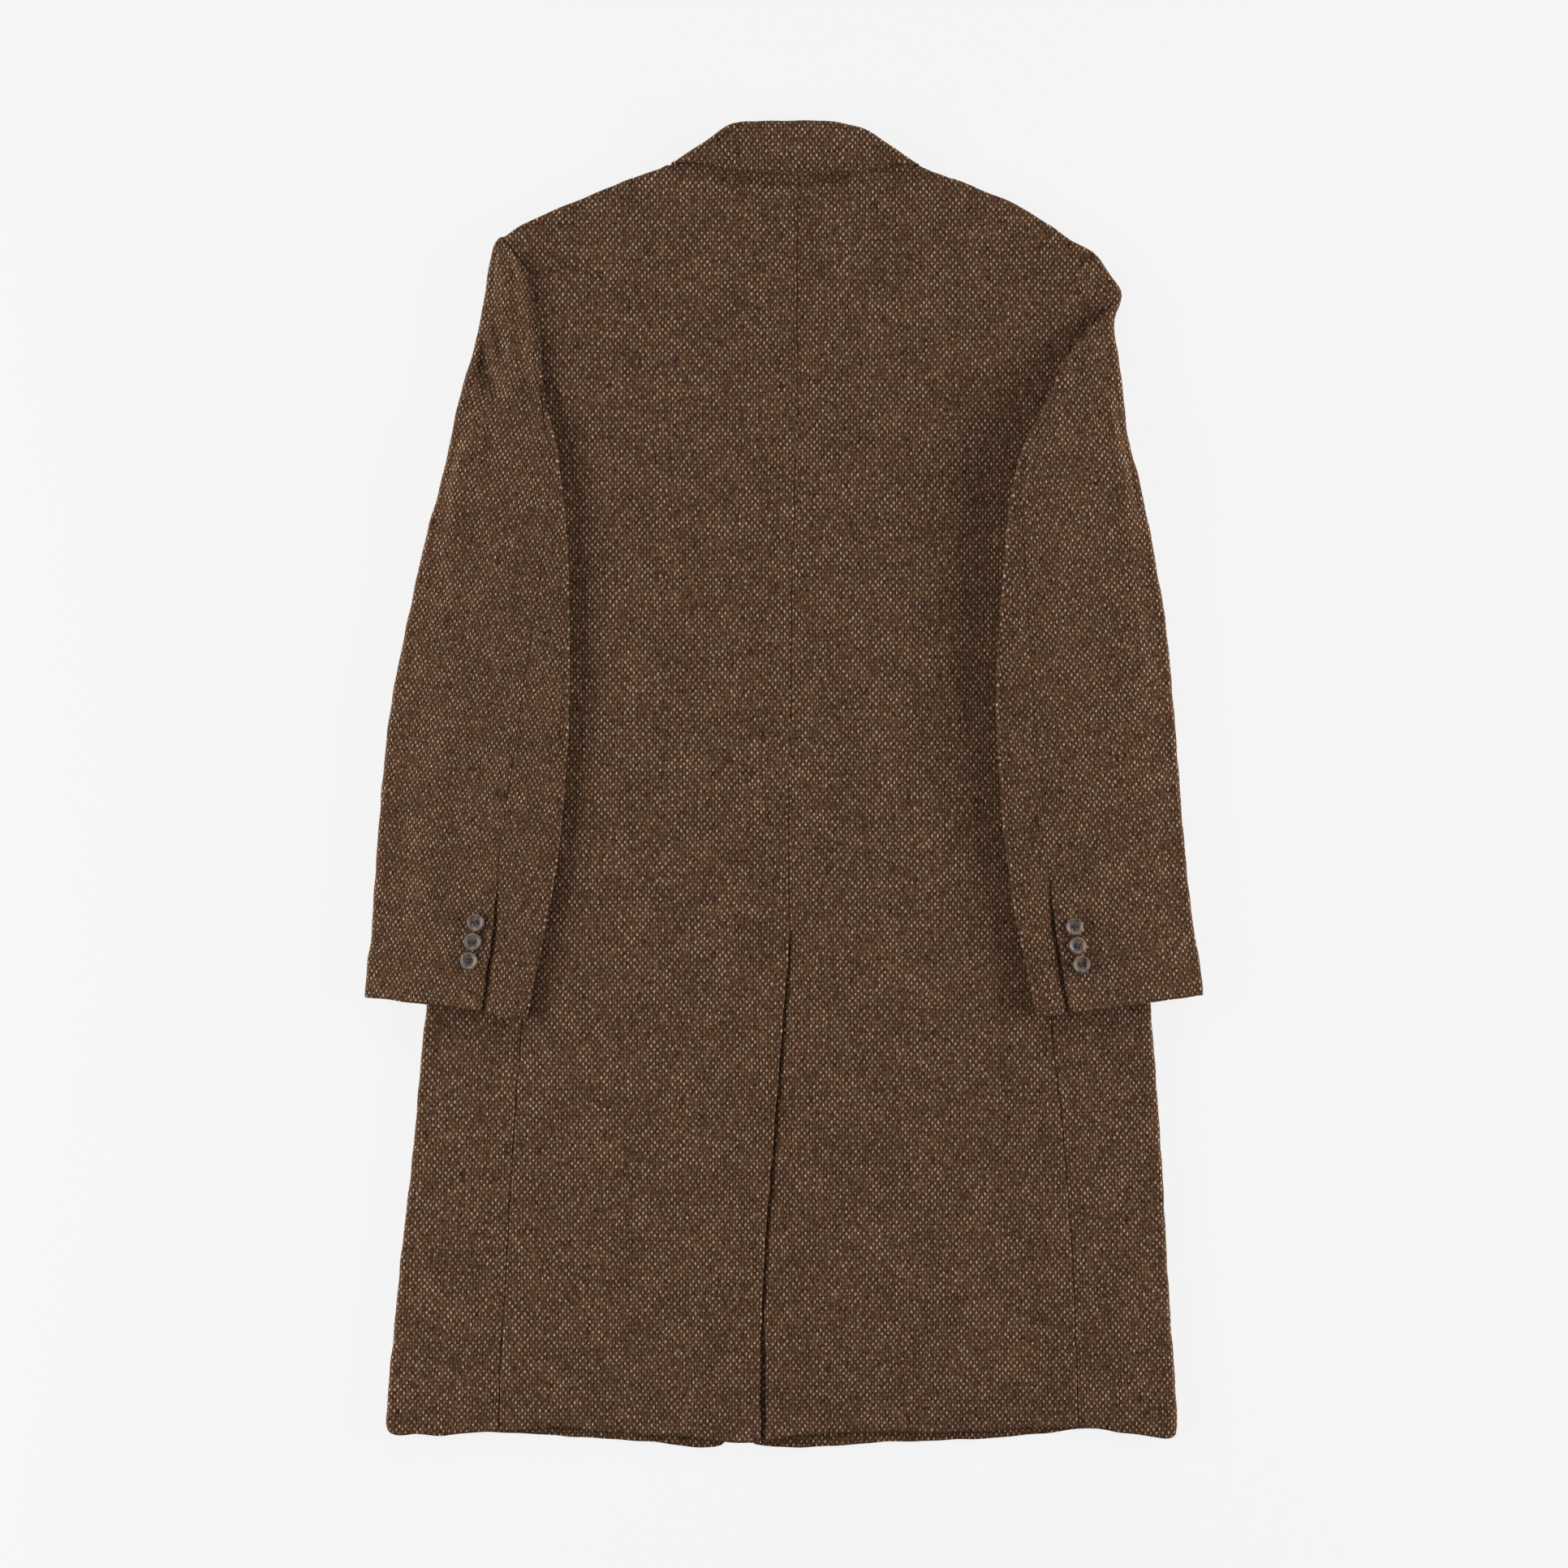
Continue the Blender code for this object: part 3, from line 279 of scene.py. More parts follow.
RIGHT_FRONT_HEM = table(
    "x drop",
    (-29, 1122), (-23, 1126), (12, 1128.2), (50, 1126), (95, 1123.3), (171, 1120.6), (230, 1115),
    (255, 1112.3), (295.6, 1115),
)  # fmt: skip
LEFT_FRONT_TOP = table(
    "x drop",
    (-238, 100.9), (-224, 91), (-196, 77.3), (-163, 63.5), (-126, 49.7), (-116, 51), (-108, 52), (-80, 62),
    (-42.5, 76),
)  # fmt: skip
RIGHT_FRONT_TOP = table(
    "x drop",
    (51.5, 76), (95, 62), (124, 52), (132, 51), (141, 50.3), (177, 63.5), (206, 77.3), (227, 91),
    (248, 105), (261.5, 112),
)  # fmt: skip
LEFT_FRONT_EDGE = table("drop x", (1, -41.4), (395, -21), (700, -30), (1122.5, -49))
RIGHT_FRONT_EDGE = table("drop x", (4, 64), (395, -7), (700, -14), (1122, -29))
LEFT_LAPEL = table(
    "drop x", (40, -78), (105, -104), (122, -130), (200, -112), (290, -76), (350, -46), (392, -25)
)
RIGHT_LAPEL = table("drop x", (40, 100), (105, 114), (122, 136), (200, 112), (290, 64), (350, 25), (392, -3))

LAPEL_MARGIN = table("drop width", (70, 20), (110, 28))  # a front stays up this far past its lapel

# Plan of the collar
COLLAR_OUTLINE = table(
    "along x drop",
    (0.00, -95.6, 38.6), (0.14, -69, 20.2), (0.26, -44, 4.2), (0.34, -28, 1.7), (0.58, 33, 1.7),
    (0.68, 60, 5.6), (0.76, 80, 15.4), (0.88, 100, 29.2), (1.00, 115.4, 39.2),
)  # fmt: skip
COLLAR_EDGE = table(
    "along x drop",
    (0.00, -94.6, 39.6), (0.05, -84, 36.8), (0.12, -67, 38.4), (0.26, -38, 43.6), (0.42, -5, 46.0),
    (0.56, 26, 46.2), (0.72, 66, 43.6), (0.88, 98, 38.6), (1.00, 114.4, 40.2),
)  # fmt: skip
COLLAR_END_LEFT = (0.02, 0.26)  # along the outline, where the collar's left end turns under
COLLAR_END_RIGHT = (0.98, 0.68)
COLLAR_FRONT_DROP = 104.0

# Plan of the sleeves
LEFT_OUTER = table(
    "drop x",
    (100.4, -241.4), (103.3, -244.4), (107.6, -246.7), (115.8, -248.7), (128.7, -250.8), (139, -252.5),
    (160, -256), (181, -260), (201, -265), (222, -271), (243, -276.7), (264, -281), (305, -290.5),
    (346, -301.5), (388, -311), (429, -320), (471, -328.4),
    (512, -335.3), (553, -340), (595, -343.6), (678, -349), (698, -350.5), (719, -354), (745.5, -356),
)  # fmt: skip
RIGHT_OUTER = table(
    "drop x",
    (113, 263.4), (117, 267.6), (125, 272.4), (137, 280.3), (144, 284.9), (150, 286.4), (157, 285.4),
    (166, 281.8), (174, 279.9), (183, 280.6), (201, 283.6), (222, 286.9), (264, 291.2), (284, 295.3),
    (305, 300.8), (346, 309.8), (388, 317.4), (429, 323.6), (471, 327.8), (533, 333.3), (595, 338),
    (636, 341.6), (678, 346.4), (719, 353.3), (743.8, 356),
)  # fmt: skip
LEFT_INNER = table(
    "drop x",
    (210, -209.5), (236, -203), (270, -194.6), (305, -189), (346, -184.2), (400, -181.5), (453, -181.5),
    (505, -182.2), (560, -184.9), (602, -189), (636, -193.2), (667, -198.4), (697, -203.6), (727, -209.8),
    (763, -218),
)  # fmt: skip
RIGHT_INNER = table(
    "drop x",
    (200, 243), (212, 234.6), (232, 227), (250, 218), (270, 206), (295, 197.3), (316, 193.2), (342, 189),
    (374, 186.6), (408, 183.5), (450, 180.8), (484, 179.4), (533, 180.8), (588, 184.2), (629, 189),
    (678, 196), (719, 204.9), (761, 213.6),
)  # fmt: skip
LEFT_SEAM = table(
    "drop x",
    (99.2, -236.6), (114.5, -227.6), (136.6, -215.9), (157, -211.5), (177, -208.2), (197, -206.4),
    (217, -205.6), (240, -203.8), (266, -200.9), (286, -197.6), (312, -197.6), (340, -201),
    (391, -206.5), (450, -214.6),
    (481, -219.4), (533, -227), (574, -233), (622, -240), (671, -244.6), (698, -247.7), (726, -251.9),
    (756, -255.5),
)  # fmt: skip
RIGHT_SEAM = table(
    "drop x",
    (112.6, 261), (126, 253.6), (146, 244.8), (165, 242.6), (190, 241.8), (206, 241.6), (216, 237.5),
    (233, 232.6), (252, 223), (271, 211.8), (295, 203), (318, 199.5), (340, 200.2), (381, 203.6),
    (436, 207), (491, 210.5), (546, 215.3), (602, 220.8), (657, 226.3), (712, 233.9), (758, 242),
)  # fmt: skip
LEFT_UNDER_SEAM = table(
    "drop x",
    (104, -236.9), (113, -230.9), (128, -222.2), (150, -214.2), (178, -210), (212, -208.8), (226, -209.8),
    (245, -224.5), (265, -240.4), (285, -256.3), (305, -272.2), (312, -275.4), (400, -276), (500, -280),
    (600, -289), (700, -302), (753, -309),
)  # fmt: skip
RIGHT_UNDER_SEAM = table(
    "drop x",
    (114.5, 260.8), (125, 256), (146, 247), (165, 244.8), (190, 244), (226, 244.4), (245, 253.5),
    (265, 263.5), (285, 273.5), (305, 284), (312, 286.5), (400, 289.4), (500, 293.4), (600, 300),
    (700, 309.8), (753, 317),
)  # fmt: skip

# Section lines across the sleeves, from the shoulder to the cuff: where each one crosses the back seam,
# the inner fold, the outer fold and the seam underneath, and how high the cloth lies there.
SLEEVE_COLUMNS = (
    "seam_drop inner_drop outer_drop under_drop inner_top inner_low outer_top outer_low under_low"
)
LEFT_SLEEVE = table(
    SLEEVE_COLUMNS,
    (99.8, 210, 100.6, 102.2, 6.2, 9.2, 6.2, 2.0, 2.0),
    (113, 211, 114, 113, 8.6, 9.2, 8.6, 0.0, 0.0),
    (127, 212, 128, 128, 8.8, 9.2, 8.8, 0.0, 0.0),
    (147, 213, 148, 150, 9.0, 9.2, 9.0, 0.0, 0.0),
    (171, 215, 173, 178, 9.4, 9.2, 9.4, 0.0, 0.2),
    (197, 216, 199, 210, 10.4, 9.2, 10.0, 0.2, 0.6),
    (217, 228, 219, 232, 13.0, 9.2, 10.6, 0.6, 1.6),
    (240, 246, 241, 251, 16.0, 9.4, 11.0, 1.2, 3.4),
    (266, 268, 267, 279, 17.8, 9.8, 11.2, 2.0, 6.4),
    (286, 287, 287, 306, 18.4, 10.0, 11.3, 2.6, 9.2),
    (312, 311, 311, 316, 18.8, 10.2, 11.4, 2.8, 9.2),
    (400, 400, 400, 400, 18.8, 10.2, 11.6, 3.0, 9.2),
    (520, 520, 520, 520, 18.4, 9.8, 11.6, 3.0, 9.2),
    (640, 640, 640, 640, 18.0, 9.4, 11.6, 3.0, 9.2),
    (756, 763, 745.5, 749, 17.8, 9.2, 11.4, 2.8, 9.2),
)
RIGHT_SLEEVE = table(
    SLEEVE_COLUMNS,
    (112.8, 202, 113.2, 112.8, 6.2, 9.2, 6.2, 2.0, 2.0),
    (126, 203, 124, 125, 8.6, 9.2, 8.8, 0.0, 0.0),
    (142, 204, 136, 143, 8.8, 9.2, 9.4, 0.0, 0.0),
    (166, 205, 146, 166, 8.8, 9.2, 9.8, 0.0, 0.2),
    (201, 206, 158, 197, 8.0, 7.4, 8.4, 0.0, 0.4),
    (206, 216, 161, 226, 19.2, 9.6, 14.6, 0.4, 0.8),
    (216, 228, 178, 240, 21.4, 11.6, 14.4, 1.0, 1.6),
    (233, 240, 204, 254, 23.0, 13.8, 12.8, 1.8, 3.4),
    (252, 256, 232, 276, 24.2, 15.4, 12.2, 2.4, 6.4),
    (271, 273, 258, 300, 25.0, 16.4, 12.0, 2.8, 9.2),
    (295, 295, 288, 314, 25.4, 16.8, 11.8, 3.0, 9.2),
    (330, 330, 328, 334, 25.4, 16.8, 11.6, 3.0, 9.2),
    (400, 400, 400, 400, 24.4, 15.8, 11.6, 3.0, 9.2),
    (520, 520, 520, 520, 22.2, 13.6, 11.6, 3.0, 9.2),
    (640, 640, 640, 640, 19.4, 10.8, 11.6, 3.0, 9.2),
    (758, 761, 743.8, 747, 18.0, 9.4, 11.4, 2.8, 9.2),
)
LEFT_BUTTONS = table("x drop", (-260.8, 681.6), (-263.2, 697.8), (-266.4, 714.0))
RIGHT_BUTTONS = table("x drop", (245.6, 685.0), (248.2, 701.0), (251.4, 717.0))
BUTTON_PROFILE = table(
    "radius z",
    (0, 0), (6.0, 0), (6.7, 0.25), (7.15, 0.8), (7.3, 1.5), (7.2, 2.2), (6.9, 2.7), (6.4, 3.0), (5.9, 2.95),
    (5.4, 2.6), (5.0, 2.2), (4.5, 2.0), (3.0, 1.9), (0, 1.88),
)  # fmt: skip

# Creases: a line on the plan with its bow, half width, and depth (a ridge is positive)
CREASE_COLUMNS = "x0 drop0 x1 drop1 bow width depth"
BODY_CREASES = table(
    CREASE_COLUMNS,
    (-217, 118, -206, 236, 2, 22, -3.8),
    (-172, 110, -166, 280, 3, 34, 2.6),
    (-92, 40, 110, 41, 7.5, 7, -4.0),
    (-38, 250, -34, 430, 3, 15, -1.0),
    (55, 95, 62, 240, -2, 17, -0.9),
    (-190, 75, -176, 250, 6, 20, -1.3),
    (-150, 120, -140, 300, 4, 22, 0.9),
    (205, 90, 190, 220, -5, 18, -1.1),
    (15, 420, 10, 600, 0, 30, 1.0),
    (-120, 930, -128, 1120, 2, 16, -1.2),
    (-190, 960, -197, 1118, -2, 18, 1.0),
    (90, 900, 98, 1122, 2, 17, -1.1),
    (150, 940, 160, 1118, 0, 16, 0.9),
    (205, 960, 214, 1115, -2, 15, -1.0),
    (-285, 950, -294, 1118, 0, 14, 0.8),
    (285, 930, 292, 1118, 0, 14, 0.8),
)
LEFT_CREASES = table(
    CREASE_COLUMNS,
    (-217, 118, -206, 236, 2, 11, -3.4),
    (-234, 122, -222, 226, 2, 12, 7.4),
    (-256, 158, -246, 203, 1, 4.5, 3.0),
    (-248, 198, -230, 229, 1, 4.5, 3.0),
    (-262, 186, -241, 236, 2, 7, -3.0),
    (-250, 255, -240, 305, 3, 12, -2.0),
    (-272, 215, -266, 268, 2, 10, 1.0),
    (-300, 380, -262, 402, 4, 12, -1.1),
    (-318, 430, -288, 452, 3, 10, 0.9),
    (-322, 520, -290, 500, -4, 13, -1.0),
    (-250, 560, -262, 650, 2, 14, 0.9),
    (-330, 600, -318, 690, 2, 15, -0.8),
)
RIGHT_CREASES = table(
    CREASE_COLUMNS,
    (268, 232, 284, 300, 4, 11, -1.8),
    (281, 268, 300, 342, 3, 10, 1.8),
    (250, 250, 232, 330, -4, 14, -1.2),
    (300, 378, 268, 402, -4, 12, -1.0),
    (318, 440, 292, 462, -3, 11, 0.9),
    (322, 520, 296, 505, 3, 13, -0.9),
    (245, 545, 258, 640, 2, 14, 0.9),
    (330, 600, 320, 690, -2, 15, -0.8),
)
# How far in from a sleeve's inner fold its upper face starts to fall, down its length
LEFT_REACH = table("drop reach", (150, 4.3), (200, 6), (240, 10), (420, 13), (800, 13))
RIGHT_REACH = table("drop reach", (150, 4.3), (260, 4.6), (360, 8), (480, 12), (800, 13))
# How wide the vent stands open, down its length
VENT_GAPE = table("drop width", (690, 0), (985, 0), (1015, 2.6), (1050, 4.6), (1095, 4.6), (1123, 2.4))
# How far the left back's vent edge stands up, down its length
VENT_EDGE = table(
    "drop lift", (690, 0), (740, 0.3), (880, 0.7), (955, 0.4), (1005, 0.5), (1060, 1.4), (1123, 1.9)
)
# Broad and fine unevenness of all cloth: height, wavelengths and seed
UNEVEN = ((0.35, (170, 121, 93, 77), 1), (0.1, (34, 27, 22, 18), 2))

# All that one sleeve is made from. Its tube starts at the section line that first has an inner fold, its
# grain leans outwards by so many degrees, and its weave is so much closer across.
LEFT_ARM = dict(
    side=-1, rows=LEFT_SLEEVE, tube=6, seam=LEFT_SEAM, outer=LEFT_OUTER, inner=LEFT_INNER,
    under=LEFT_UNDER_SEAM, creases=LEFT_CREASES, reach=LEFT_REACH, lean=8.0, across=1.2,
    buttons=LEFT_BUTTONS, button_turn=0.0,
)  # fmt: skip
RIGHT_ARM = dict(
    side=1, rows=RIGHT_SLEEVE, tube=4, seam=RIGHT_SEAM, outer=RIGHT_OUTER, inner=RIGHT_INNER,
    under=RIGHT_UNDER_SEAM, creases=RIGHT_CREASES, reach=RIGHT_REACH, lean=6.0, across=1.0,
    buttons=RIGHT_BUTTONS, button_turn=0.3,
)  # fmt: skip
ARMS = (("left", LEFT_ARM), ("right", RIGHT_ARM))


def smooth(xs, ys, at):
    """Cubic through the points (xs, ys) that never overshoots them."""
    step = np.diff(xs)
    slope = np.diff(ys) / step
    bend = np.concatenate([slope[:1], np.zeros(len(slope) - 1), slope[-1:]])
    same = np.flatnonzero(slope[:-1] * slope[1:] > 0)
    bend[same + 1] = 2 * slope[same] * slope[same + 1] / (slope[same] + slope[same + 1])
    at = np.clip(at, xs[0], xs[-1])
    k = np.clip(np.searchsorted(xs, at) - 1, 0, len(step) - 1)
    t = (at - xs[k]) / step[k]
    near = (1 + 2 * t) * ys[k] + t * step[k] * bend[k]
    far = (3 - 2 * t) * ys[k + 1] + (t - 1) * step[k] * bend[k + 1]
    return (1 - t) ** 2 * near + t**2 * far


def x_at(edge, drop):
    return smooth(edge["drop"], edge["x"], drop)


def drop_at(edge, x):
    return smooth(edge["x"], edge["drop"], x)


def mix(a, b, t):
    return a + (b - a) * t


def ease(t):
    t = np.clip(t, 0, 1)
    return t * t * (3 - 2 * t)


def between(start, end, at):
    """How far along from start to end, from 0 to 1 with soft ends."""
    return ease((at - start) / (end - start))


def patch(top, bottom, inner, outer, u, v):
    """Plan point (x, drop) of a panel between its four edges, each a function of u or v."""
    zero = np.zeros(1)
    one = np.ones(1)
    corner = {(a, b): edge(end) for b, edge in ((0, top), (1, bottom)) for a, end in ((0, zero), (1, one))}
    point = []
    for axis in (0, 1):
        across = mix(top(u)[axis], bottom(u)[axis], v)
        along = mix(inner(v)[axis], outer(v)[axis], u)
        upper = mix(corner[0, 0][axis], corner[1, 0][axis], u)
        lower = mix(corner[0, 1][axis], corner[1, 1][axis], u)
        point.append(across + along - mix(upper, lower, v))
    return point


def lip(v, share, radius):
    """Distance in from a turned edge, and how far the cloth has turned away there, at v from 0 to share."""
    angle = 0.5 * math.pi * np.clip(v / share, 0, 1)
    return radius * (1 - np.cos(angle)), radius * (1 - np.sin(angle))


def shoulder_turn(v, radius):
    """Share of a panel's length at v, and how far the cloth has turned away there at the shoulder."""
    inset, turned = lip(v, SHOULDER_LIP, radius)
    flat = mix(radius, PANEL_LENGTH, (v - SHOULDER_LIP) / (1 - SHOULDER_LIP))
    return np.where(v < SHOULDER_LIP, inset, flat) / PANEL_LENGTH, turned


def vent_opening(drop):
    """How far the vent has opened, from 0 above its top to 1 below."""
    return ease((drop - VENT_TOP + VENT_EASE) / (2 * VENT_EASE))


def vent_gape(drop):
    return smooth(VENT_GAPE["drop"], VENT_GAPE["width"], drop)


def wrap(u, start, fold, end, side, turn=OUTER_TURN, crest=None, reach=None):
    """Section of cloth that runs from start to a fold, turns round it to its other face and runs to end.

    start and end are (x, drop, z), fold is (x, drop, top, low), side is the way the fold points in x.
    A crest (share of the first run, z) is a shelf that the first run passes on its way.
    reach is how far from the fold its first run starts to fall, if it isn't half the fold's height.
    """
    radius = (fold[2] - fold[3]) / 2
    reach = radius if reach is None else reach
    first = np.clip(u / turn[0], 0, 1)
    second = np.clip((u - turn[0]) / (turn[1] - turn[0]), 0, 1)
    third = np.clip((u - turn[1]) / (1 - turn[1]), 0, 1)
    width = np.where(second < 0.5, reach, radius)
    x = np.where(u <= turn[0], mix(start[0], fold[0] - side * reach, first), fold[0] - side * width)
    x = np.where(u <= turn[1], x, mix(fold[0] - side * radius, end[0], third))
    drop = np.where(u <= turn[1], mix(start[1], fold[1], first), mix(fold[1], end[1], third))
    x = x + side * width * np.sin(math.pi * second)
    turned = fold[3] + radius * (1 + np.cos(math.pi * second))
    run = mix(start[2], fold[2], ease(first))
    if crest:
        straight = mix(start[2], crest[1], ease(first / crest[0]))
        run = mix(straight, fold[2], ease((first - crest[0]) / (1 - crest[0])))
    z = np.where(u < turn[0], run, turned)
    z = np.where(u > turn[1], mix(fold[3], end[2], ease(third)), z)
    return np.array([x, drop, z])


def spread(width, step=GRID):
    """Sample positions from 0 to 1 across a width, close together at both ends."""
    middle = np.linspace(EDGE_STEPS[-1], width - EDGE_STEPS[-1], round(width / step))
    return np.concatenate([EDGE_STEPS[:-1], middle, width - EDGE_STEPS[-2::-1]]) / width


def fold_columns(width, step, turn, bend, bends, rest):
    """Sample positions across cloth that turns round a fold: its first run, its bend and the rest."""
    first = turn[0] * spread(width, step)[:-4]
    return np.concatenate([first, np.linspace(bend, turn[1], bends), np.linspace(rest, 1, 8)])


def waves(x, drop, lengths, seed):
    """Smooth uneven noise of about unit size, from plane waves with these wavelengths."""
    chance = np.random.default_rng(SEED + seed)
    total = np.zeros_like(x)
    for length in lengths:
        angle, phase = chance.uniform(0, 2 * math.pi, 2)
        along = x * math.cos(angle) + drop * math.sin(angle)
        total = total + np.sin(2 * math.pi * along / length + phase)
    return total / math.sqrt(len(lengths))


def relief(layer, x, drop):
    """Height of the creases and unevenness of one layer of cloth at a plan point."""
    height = np.zeros_like(x)
    for row in range(len(layer["depth"])):
        crease = {column: layer[column][row] for column in layer}
        run_x = crease["x1"] - crease["x0"]
        run_drop = crease["drop1"] - crease["drop0"]
        length = math.hypot(run_x, run_drop)
        along = ((x - crease["x0"]) * run_x + (drop - crease["drop0"]) * run_drop) / length
        aside = ((x - crease["x0"]) * run_drop - (drop - crease["drop0"]) * run_x) / length
        share = along / length
        aside = aside + crease["bow"] * (4 * np.clip(share, 0, 1) * np.clip(1 - share, 0, 1))
        past = np.maximum(-along, along - length)
        ends = np.exp(-((np.maximum(past + CREASE_FADE[0] * length, 0) / (CREASE_FADE[1] * length)) ** 2))
        height = height + crease["depth"] * np.exp(-((aside / crease["width"]) ** 2)) * ends
    for size, lengths, seed in UNEVEN:
        height = height + size * waves(x, drop, lengths, seed)
    return height


def rounded(distance, radius):
    """How far a rounded edge has dropped at a distance in from it."""
    short = radius - np.clip(distance, 0, radius)
    return radius - np.sqrt(np.maximum(radius**2 - short**2, 0))


def valley(distance, depth):
    """How far cloth has dropped into a pressed seam at a distance from it."""
    return depth * np.clip(1 - distance / (SEAM_SPREAD * np.maximum(depth, 0.01)), 0, 1) ** 2


def lengths_along(grid, axis):
    """Distance along the grid lines of one axis, from their start."""
    steps = np.linalg.norm(np.diff(grid, axis=axis + 1), axis=0)
    first = np.zeros_like(np.take(steps, [0], axis=axis))
    return np.cumsum(np.concatenate([first, steps], axis=axis), axis=axis)


def inward(grid, facing):
    """Unit normals of a grid of points, pointing into the cloth."""
    along_u = np.gradient(grid, axis=1)
    along_v = np.gradient(grid, axis=2)
    normal = facing * np.cross(along_u, along_v, axis=0)
    return normal / np.maximum(np.linalg.norm(normal, axis=0), 1e-9)


def new_object(name, mesh, finish):
    mesh.shade_smooth()
    mesh.materials.append(finish)
    made = bpy.data.objects.new(name, mesh)
    bpy.context.scene.collection.objects.link(made)
    return made


def shell(name, grid, facing, weave, edges, finish, wall):
    """Closed cloth shell below a grid of points (x, drop, z), with rounded edges.

    weave is the grid's place on the cloth. edges are the depths of the seams where u starts and ends,
    and the radii of the hems where v starts and ends.
    """
    down_u = lengths_along(grid, 0)
    down_v = lengths_along(grid, 1)
    normal = inward(grid, facing)
    upright = np.array([0 * down_u, 0 * down_u, np.sign(normal[2])])
    seams = np.maximum(valley(down_u, edges[0]), valley(down_u[-1:] - down_u, edges[1]))
    hems = np.maximum(rounded(down_v, edges[2]), rounded(down_v[:, -1:] - down_v, edges[3]))
    outer = grid + upright * seams + normal * hems
    inner = grid + normal * (wall - EDGE_THINNING * np.maximum(seams, hems))
    points = np.concatenate([outer.reshape(3, -1), inner.reshape(3, -1)], axis=1)
    sway_x = SWAY * waves(points[0], points[1], SWAY_X, 3)
    sway_drop = SWAY * waves(points[0], points[1], SWAY_DROP, 4)
    points[0] += sway_x
    points[1] = LENGTH / 2 - points[1] - sway_drop
    points[2] = np.maximum(points[2], 0.0)
    count = grid[0].size
    index = np.arange(count).reshape(grid[0].shape)
    quads = np.stack([index[:-1, :-1], index[1:, :-1], index[1:, 1:], index[:-1, 1:]], -1).reshape(-1, 4)
    rim = np.concatenate([index[:-1, 0], index[-1, :-1], index[:0:-1, -1], index[0, :0:-1]])
    after = np.roll(rim, -1)
    sides = np.stack([after, rim, rim + count, after + count], -1)
    faces = np.concatenate([quads, quads[:, ::-1] + count, sides])
    mesh = bpy.data.meshes.new(name)
    mesh.from_pydata((points.T * MM).tolist(), [], faces.tolist())
    layer = mesh.uv_layers.new(name="weave")
    place = np.tile(weave.reshape(2, -1), 2).T * MM
    layer.data.foreach_set("uv", place[faces.reshape(-1)].astype(np.float32).reshape(-1))
    bm = bmesh.new()
    bm.from_mesh(mesh)
    bmesh.ops.recalc_face_normals(bm, faces=bm.faces)
    bm.to_mesh(mesh)
    bm.free()
    return new_object(name, mesh, finish)


def cloth(node, grid, facing, weave, edges, finish, wall=WALL):
    """Shell that stands for a cloth node: attached to the root body, with the node itself hidden."""
    made = shell("cloth_" + node, grid, facing, weave, edges, finish, wall)
    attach(made, "root")
    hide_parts(node)
    return made


def armhole_then_seam(armhole, seam):
    """Outer edge of a back: the armhole, then the seam to the side body."""
    return {column: np.concatenate([armhole[column], seam[column][1:]]) for column in ("drop", "x")}


def underarm_slope(armhole, fold):
    """Drop per millimetre of x along the straight lower armhole, from its back corner to the armpit."""
    return (fold["drop"][0] - armhole["drop"][-1]) / abs(fold["x"][0] - armhole["x"][-1])


def shoulder_rows():
    """Sample positions down a front or back, with the turned edge at the shoulder."""
    turned = np.linspace(0, SHOULDER_LIP, 7)[:-1]
    return np.concatenate([turned, mix(SHOULDER_LIP, 1, spread(PANEL_LENGTH))])


def hem_sag(x, drop):
    """How far the back sinks onto the fronts towards its hem, away from the vent."""
    aside = abs(x - x_at(CENTRE, drop))
    return HEM_SAG * between(HEM_SAG_START, LENGTH, drop) * between(*HEM_SAG_CLEAR, aside)


def side_seam(grid):
    """Depth of a back's outer seam along its length: shallow at the armhole, deeper down the side."""
    drop = grid[1][-1:]
    armpit = LEFT_ARMHOLE["drop"][-1]
    return mix(*SIDE_SEAM_DEPTH, between(armpit, armpit + SEAM_CHANGE, drop))


